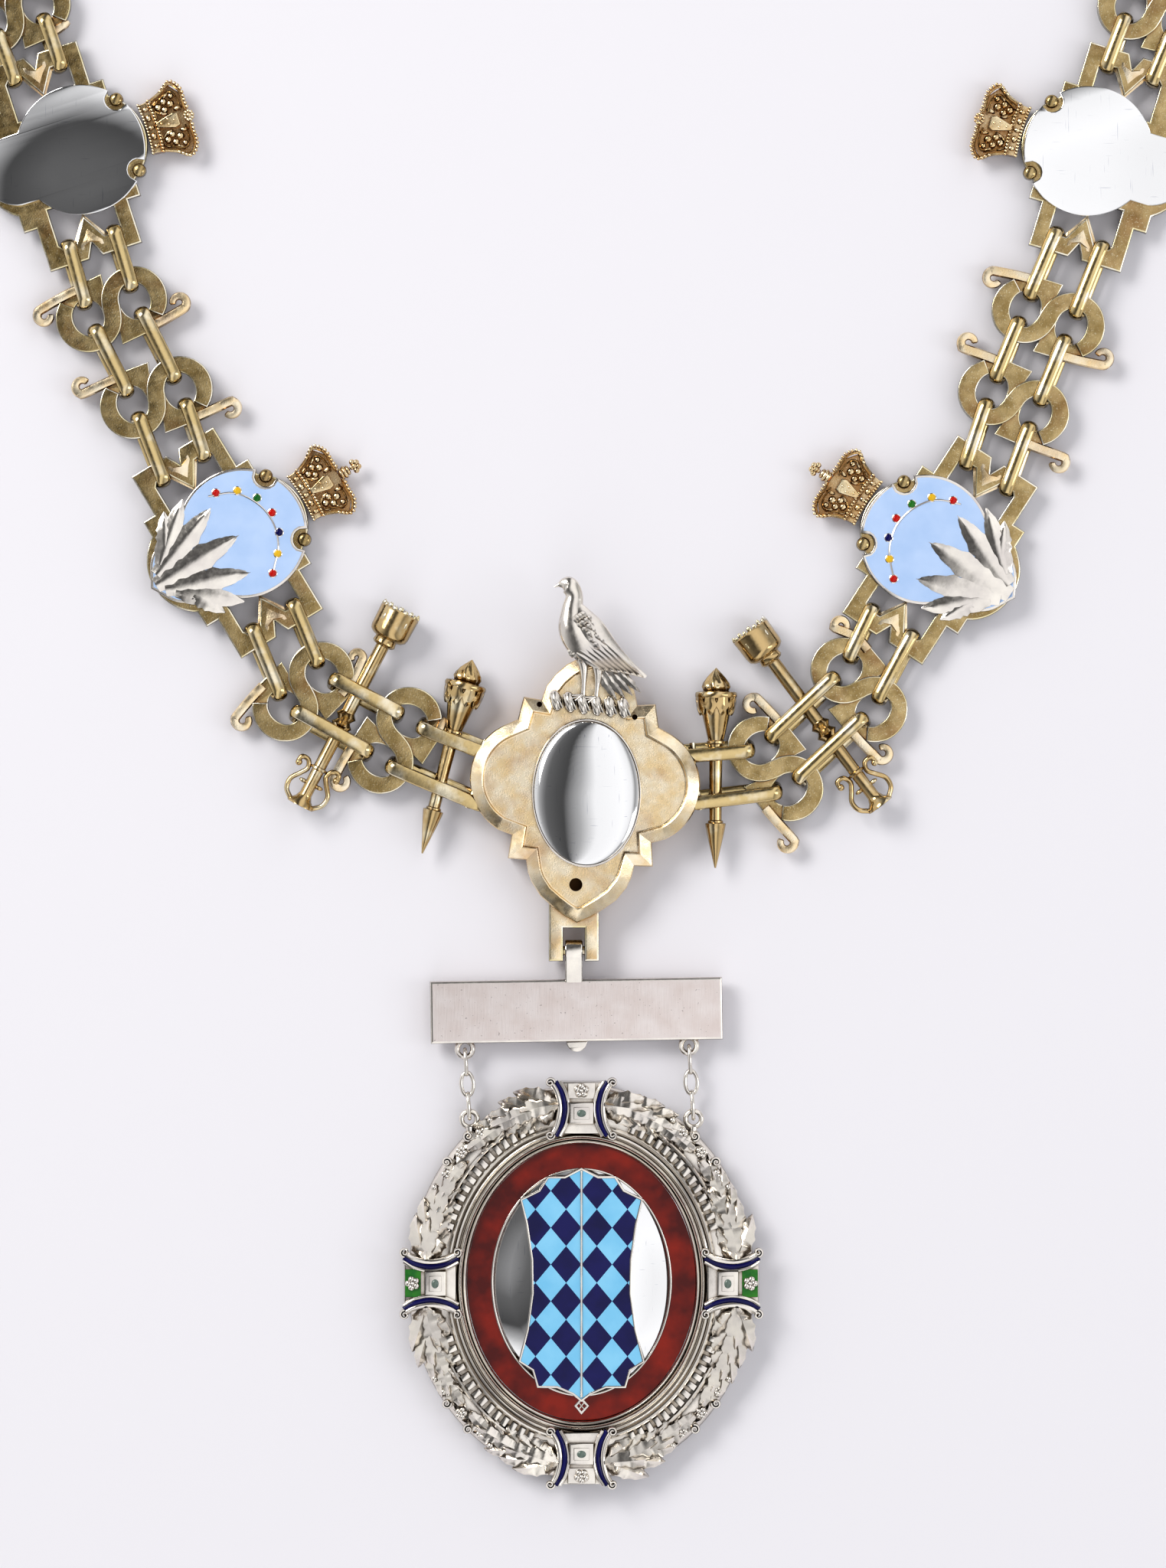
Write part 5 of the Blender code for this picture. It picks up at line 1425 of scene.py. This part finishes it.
# %% [markdown]
# The badge is a heavy oval frame. Its mouldings are swept rings, and the polished dish inside
# them bows up a little towards the middle. The wreath was cast and chased: leaves, flowers and
# berries in deep relief. Each leaf's turn and curl come by chance from a fixed seed, so that no
# two neighbours are alike but every run is the same.

# %% Badge
BADGE_MATRIX = place(*BADGE)
SILVER_SLOT, BLUE_SLOT, STONE_SLOT, LEAF_SLOT, DISH_SLOT = 1, 2, 3, 4, 5
BADGE_FINISHES = [SILVER_CAST, SILVER, ENAMEL_NAVY, STONE, ENAMEL_GREEN, SILVER_MIRROR]
chance = random.Random(11)


def rim_spot(degrees, out):
    """A point outside the inner oval and the heading that leads away from it."""
    angle = math.radians(degrees)
    x, y = INNER_WIDE * math.cos(angle), INNER_TALL * math.sin(angle)
    away = Vector((math.cos(angle) / INNER_WIDE, math.sin(angle) / INNER_TALL)).normalized()
    return Vector((x, y)) + away * out, bearing(away)


def rim_ring(work, profile, slot, count=120):
    """A moulding round the badge, from (distance outwards, height) points."""
    part = bmesh.new()
    rows = []
    for index in range(count):
        spots = [(*rim_spot(360 * index / count, out)[0], height) for out, height in profile]
        rows.append([part.verts.new(spot) for spot in spots])
    for first, second in zip(rows, rows[1:] + rows[:1]):
        for index in range(len(profile) - 1):
            part.faces.new((first[index], first[index + 1], second[index + 1], second[index]))
    close_up(work, part, slot, BADGE_MATRIX)


SHELL = (
    (0.0, 0.2), (10.6, 0.05), (11.3, 0.8), (11.5, 2.6), (10.6, 4.0), (8.6, 4.7), (6.0, 4.5),
    (5.0, 3.9), (3.6, 3.6),
)
MOULDINGS = (
    (0.0, 0.3), (0.0, 4.1), (0.15, 4.5), (0.4, 4.65), (0.65, 4.5), (0.75, 4.1), (0.85, 4.5),
    (1.2, 5.15), (1.5, 5.4), (1.8, 5.15), (2.05, 4.6), (2.15, 4.6), (2.3, 4.95), (2.55, 5.1),
    (2.8, 4.95), (2.9, 4.4), (3.2, 4.2), (6.6, 4.2),
)
DISH = (
    (1.02, 1.0), (1.0, 2.0), (0.78, 2.15), (0.62, 2.65), (0.46, 3.0), (0.2, 3.25), (0.05, 3.3),
)
work = bmesh.new()
rim_ring(work, SHELL, 0)
rim_ring(work, MOULDINGS, SILVER_SLOT)
edge = oval(INNER_WIDE, INNER_TALL, 96)
dish = [[(x * share, y * share, height) for x, y in edge] for share, height in DISH]
skin(work, dish, DISH_SLOT, matrix=BADGE_MATRIX)

for index in range(96):
    degrees = 360 * index / 96 + 1.8
    if 20 < degrees % 90 < 70:
        spot, heading = rim_spot(degrees, 5.1)
        matrix = BADGE_MATRIX @ place(*spot, heading)
        box(work, (-0.95, -0.62, 4.1), (0.95, 0.62, 5.3), matrix, SILVER_SLOT, 0.3)
for out, high in ((3.7, 5.0), (6.6, 5.1)):
    inner = [(out - 0.35, 4.0), (out - 0.3, high), (out, high + 0.25)]
    fillet = inner + [(out + 0.3, high), (out + 0.35, 4.0)]
    rim_ring(work, fillet, SILVER_SLOT)


def spray(work, strap, sign):
    """Acanthus leaves from under a strap along the rim to the next diagonal."""
    for index in range(4, -1, -1):
        t = index / 4
        degrees = strap + sign * (8 + 27 * t)
        for out, lean, share in ((8.2, 24, 0.96), (7.6, -20, 0.8), (8.2, 2, 1.0)):
            spot, heading = rim_spot(degrees, out + 0.3 * t)
            size = (1.0 - 0.42 * t) * share
            base = (*spot, 4.6 - 0.5 * t + (0.6 if abs(lean) < 9 else 0.0))
            pointed = heading + sign * (90 - lean) + chance.uniform(-5, 5)
            curl = sign * chance.uniform(-5, 25)
            leaf(work, base, pointed, 9.6 * size, 4.2 * size, 2.0 * size, 0, curl, 4, BADGE_MATRIX)


for strap in (0, 90, 180, 270):
    for sign in (1, -1):
        spray(work, strap, sign)


def flower(work, spot, radius, matrix, slot=0):
    """Five round petals and an eye."""
    for angle in turns(5):
        x, y = spot[0] + radius * 0.62 * math.cos(angle), spot[1] + radius * 0.62 * math.sin(angle)
        ball(work, (x, y, spot[2]), radius * 0.48, slot, (1, 1, 0.7), matrix, 6)
    ball(work, (spot[0], spot[1], spot[2] + radius * 0.25), radius * 0.32, slot, (1, 1, 0.8), matrix, 5)


def scroll(work, matrix, size, slot=SILVER_SLOT):
    """A flat ribbon curled up on its side, as on strap ends and stalks."""
    points = []
    for index in range(20):
        angle = math.radians(-90 + 26 * index)
        radius = size * (1 - index / 25)
        points.append((radius * math.cos(angle), radius * math.sin(angle) + size, 0.0))
    sweep(work, points, 0.55, 1.3, 8, slot=slot, matrix=matrix)


for diagonal in (45, 135, 225, 315):
    for shift, out, size in ((-9, 9.4, 1.35), (9, 9.4, 1.35), (0, 9.9, 1.15)):
        spot, heading = rim_spot(diagonal + shift, out)
        flower(work, (*spot, 5.0), size, BADGE_MATRIX)
    for sign in (1, -1):
        spot, heading = rim_spot(diagonal + sign * 4.5, 10.2)
        curl = Matrix.Diagonal((1, sign, 1, 1))
        scroll(work, BADGE_MATRIX @ place(*spot, heading - sign * 60, 4.6) @ curl, 0.95)
        spot, heading = rim_spot(diagonal + sign * 14, 10.6)
        ball(work, (*spot, 4.8), 0.75, 0, matrix=BADGE_MATRIX, rings=6)


STRAPS = ((0, INNER_WIDE), (90, INNER_TALL), (180, INNER_WIDE), (270, INNER_TALL))
STRAP_WIRES = (
    (0.0, 1.15, SILVER_SLOT, 6.1), (-0.95, 1.0, BLUE_SLOT, 5.95), (-1.75, 0.8, SILVER_SLOT, 6.1),
)
for degrees, reach in STRAPS:
    matrix = BADGE_MATRIX @ place(0, 0, degrees)
    start, end = reach + 2.0, reach + 12.2
    flank = [(start, -5.6), (start + 3.0, -4.5), (end - 3.0, -4.5), (end, -5.7)]
    flat(work, [flank + flipped(flank)], 0.3, 5.9, 0.4, SILVER_SLOT, None, matrix)
    for sign in (1, -1):
        for shift, size, slot, high in STRAP_WIRES:
            points = [(start - 0.4, 5.9), (start + 2.0, 4.7), (start + 5.1, 4.2),
                      (end - 2.0, 4.8), (end + 0.1, 6.0)]
            line = smooth_path([(x, sign * (y + shift), high) for x, y in points], 5)
            sweep(work, line, size, 1.1, 10, slot=slot, matrix=matrix)
        for x, degrees, flip in ((start - 0.2, 180, -sign), (end - 0.1, 0, sign)):
            curl = Matrix.Diagonal((1, flip, 1, 1))
            scroll(work, matrix @ place(x, sign * 5.2, degrees, 6.4) @ curl, 0.9)
        low = (reach + 4.4, sign * 3.0 - 0.3, 5.7)
        box(work, low, (reach + 8.0, sign * 3.0 + 0.3, 6.3), matrix, BLUE_SLOT, 0.1)
    box(work, (reach + 4.0, -2.4, 5.8), (reach + 8.2, 2.4, 7.2), matrix, SILVER_SLOT, 0.35)
    box(work, (reach + 4.9, -1.5, 7.0), (reach + 7.3, 1.5, 7.35), matrix, SILVER_SLOT, 0.12)
    ball(work, (reach + 6.1, 0, 7.1), 1.05, STONE_SLOT, (0.8, 1.0, 0.5), matrix, 8)
    panel = SILVER_SLOT if reach == INNER_TALL else LEAF_SLOT
    box(work, (reach + 8.9, -2.7, 5.7), (reach + 12.0, 2.7, 6.3), matrix, panel, 0.15)
    flower(work, (reach + 10.5, 0.0, 6.5), 1.35, matrix, SILVER_SLOT)
for sign in (1, -1):
    x = sign * EYE_SIDE
    eye(work, (x, BADGE_EYE, BAR_MIDDLE), BADGE_MATRIX)
    post = [(x, BADGE_EYE - EYE_RADIUS, BAR_MIDDLE), (x - sign * 0.6, BADGE_EYE - 6.5, BAR_MIDDLE)]
    sweep(work, post, 1.6, 1.6, 12, slot=SILVER_SLOT, matrix=BADGE_MATRIX)
    knob = (x, BADGE_EYE - 3.4, BAR_MIDDLE)
    ball(work, knob, 1.35, SILVER_SLOT, matrix=BADGE_MATRIX, rings=8)
finish(work, "badge_form", BADGE_FINISHES, ["badge_body"], 40)
print("badge is made")

# %% [markdown]
# The red band is translucent enamel on silver, with a thin fillet of bare metal inside it.
# A small crossed diamond marks its foot.

# %% Enamel band
BAND_FLOOR = 2.3
BAND_TOP = 3.5
BAND_INNER = (17.3, 22.0)


def band(work, outer, top, bevel, slot):
    """A flat oval band outside the band's inner edge."""
    outlines = [oval(*outer, 120), oval(*BAND_INNER, 120)[::-1]]
    flat(work, outlines, BAND_FLOOR, top, bevel, slot, None, BADGE_MATRIX)


work = bmesh.new()
band(work, (22.4, 27.1), BAND_TOP - 0.2, 0.05, 0)
band(work, (17.7, 22.4), BAND_TOP, 0.12, 1)
knot = BADGE_MATRIX @ place(0, -24.25)
diamond = [(-1.5, 0.0), (0.0, -1.7), (1.5, 0.0), (0.0, 1.7)]
hole = [(x * 0.6, y * 0.6) for x, y in diamond]
flat(work, [diamond, hole], BAND_TOP - 0.4, BAND_TOP, 0.08, 1, None, knot)
for sign in (1, -1):
    stroke = [(-0.6, sign * 0.7, BAND_TOP - 0.15), (0.6, -sign * 0.7, BAND_TOP - 0.15)]
    sweep(work, stroke, 0.3, 0.3, 8, slot=1, matrix=knot)
finish(work, "enamel_band_form", [ENAMEL_RED, SILVER], ["enamel_band"])

# %% [markdown]
# The shield is a plain field of lozenges in two blues, set either side of a silver line. It
# stands on two posts, clear of the dish, so a shadow falls round it. A chequer of flat tiles
# would stick out past its wavy outline, so each lozenge is clipped to the field.

# %% Shield
SHIELD_FLOOR = 3.8
SHIELD_TOP = 5.2
SHIELD_HALF = [
    (0.0, 22.6), (-3.3, 20.9), (-6.7, 20.9), (-8.4, 18.2), (-12.1, 16.4), (-10.9, 11.5),
    (-9.9, 4.5), (-9.8, -2.0), (-10.7, -9.0), (-12.4, -15.5), (-9.7, -17.2), (-8.7, -20.6),
    (-4.8, -20.6), (-1.8, -21.9), (0.0, -23.3),
]
LOZENGE_WIDE = 6.0
LOZENGE_TALL = 7.2


def clip(outline, corners):
    """The share of an outline inside a lozenge whose corners run anticlockwise."""
    kept = [tuple(spot) for spot in outline]
    for (ax, ay), (bx, by) in zip(corners, corners[1:] + corners[:1]):
        depths = [(bx - ax) * (y - ay) - (by - ay) * (x - ax) for x, y in kept]
        cut_off = []
        for index, (x, y) in enumerate(kept):
            before = index - 1
            if (depths[before] > 0) != (depths[index] > 0):
                share = depths[before] / (depths[before] - depths[index])
                px, py = kept[before]
                cut_off.append((px + (x - px) * share, py + (y - py) * share))
            if depths[index] > 0:
                cut_off.append((x, y))
        kept = cut_off
        if not kept:
            break
    return kept


work = bmesh.new()
outline = SHIELD_HALF + mirrored(SHIELD_HALF[1:-1])
flat(work, [outline], SHIELD_FLOOR, SHIELD_TOP - 0.3, 0.2, 0, None, BADGE_MATRIX)
border = inset(outline, 0.45)
flat(work, [outline, border], SHIELD_TOP - 0.6, SHIELD_TOP, 0.12, 0, None, BADGE_MATRIX)
field = inset(outline, 0.4)
flat(work, [field], SHIELD_TOP - 0.5, SHIELD_TOP - 0.2, 0.02, 1, None, BADGE_MATRIX)
for row in range(-5, 6):
    for column in range(-3, 4):
        x, y = column * LOZENGE_WIDE, row * LOZENGE_TALL
        near, far = x - LOZENGE_WIDE / 2, x + LOZENGE_WIDE / 2
        corners = [(near, y), (x, y - LOZENGE_TALL / 2), (far, y), (x, y + LOZENGE_TALL / 2)]
        piece = clip(field, corners)
        if len(piece) > 2:
            flat(work, [piece], SHIELD_TOP - 0.3, SHIELD_TOP - 0.15, 0.02, 2, None, BADGE_MATRIX)
middle_line = [(0, -22.4, SHIELD_TOP - 0.1), (0, 22.0, SHIELD_TOP - 0.1)]
sweep(work, middle_line, 0.45, 0.5, 8, matrix=BADGE_MATRIX)
for y in (15.0, -15.0):
    lathe(work, [(2.3, 1.2), (4.2, 1.2)], 20, 0, BADGE_MATRIX @ place(0, y))
finish(work, "shield_form", [SILVER, ENAMEL_NAVY, ENAMEL_LIGHT], ["shield"])
print("badge, band and shield are made")

# %% [markdown]
# The photograph shows the chain on white paper under soft window light from the upper left.
# Polished metal shows what is around it, so the sky is striped from left to right: one broad
# dark zone left of the lens, as a dim room gives, light above and to its right, and a narrow
# grey zone far right. A large soft lamp stands for the window and a small one fills from the
# right, for the streaks on the rings and the soft shadows to the lower right.

# %% Floor
FLOOR_REACH = 6.0
FLOOR_DROP = 0.0001
floor_mesh = bpy.data.meshes.new("floor")
sheet = rectangle(-FLOOR_REACH, -FLOOR_REACH, FLOOR_REACH, FLOOR_REACH)
floor_mesh.from_pydata([(x, y, -FLOOR_DROP) for x, y in sheet], [], [(0, 1, 2, 3)])
floor_mesh.materials.append(material("white_paper", "#efedf2", 0.0, 0.6)[0])
show("floor", floor_mesh)

# %% Sky and lamps
SKY_TILT = -0.35
SKY_STRENGTH = 1.09
SKY_BANDS = (
    (0.0, 0.75), (0.1, 0.7), (0.2, 0.36), (0.3, 0.12), (0.41, 0.06), (0.46, 0.42), (0.5, 0.95),
    (0.62, 1.05), (0.72, 0.9), (0.8, 0.3), (1.0, 0.75),
)
world = bpy.data.worlds.new("soft_room")
world.use_nodes = True
bpy.context.scene.world = world
sky = world.node_tree
direction = add(sky, "ShaderNodeTexCoord").outputs["Generated"]
across = add(sky, "ShaderNodeSeparateXYZ", {"Vector": direction})
tilted = add(sky, "ShaderNodeMath", {0: across.outputs["Y"], 1: SKY_TILT}, operation="MULTIPLY")
slant = add(sky, "ShaderNodeMath", {0: across.outputs["X"], 1: tilted.outputs[0]}).outputs[0]
share = spread(sky, slant, -1.0, 1.0)
ramp = add(sky, "ShaderNodeValToRGB", {"Fac": share})
bands = ramp.color_ramp.elements
for element, (position, grey) in zip((bands[0], bands[1]), (SKY_BANDS[0], SKY_BANDS[-1])):
    element.position = position
    element.color = (grey, grey, grey * 1.01, 1)
for position, grey in SKY_BANDS[1:-1]:
    bands.new(position).color = (grey, grey, grey * 1.02, 1)
background = sky.nodes["Background"]
sky.links.new(ramp.outputs["Color"], background.inputs["Color"])
background.inputs["Strength"].default_value = SKY_STRENGTH


def lamp(name, spot, size, power, tint):
    """A square soft lamp that looks at the middle of the chain."""
    data = bpy.data.lights.new(name, "AREA")
    data.shape = "RECTANGLE"
    data.size, data.size_y = size
    data.energy = power
    data.color = tint
    thing = show(name, data)
    thing.location = spot
    thing.rotation_euler = (-Vector(spot)).to_track_quat("-Z", "Y").to_euler()


lamp("window", (-1.1, 0.95, 1.4), (1.03, 0.73), 22.0, (1.0, 0.985, 0.96))
lamp("fill", (0.95, -0.1, 0.8), (0.35, 0.7), 2.0, (0.95, 0.97, 1.0))
bpy.context.scene.view_settings.view_transform = "Standard"

# %% [markdown]
# The photograph looks straight down from about a metre, so the camera does too. The field of
# view comes from the plane of the links, 4 mm above the paper: 307.2 mm high at the distance.

# %% Camera
CAMERA_HEIGHT = 1.15
VIEW_TALL = 0.3072
SENSOR = 36.0
lens = bpy.data.cameras.new("camera")
lens.sensor_fit = "VERTICAL"
lens.sensor_height = SENSOR
lens.lens = SENSOR * CAMERA_HEIGHT / VIEW_TALL
lens.clip_end = 10.0
camera = show("camera", lens)
camera.location = (-0.0003, 0.00105, CAMERA_HEIGHT + LINK_TOP * MM)
bpy.context.scene.camera = camera
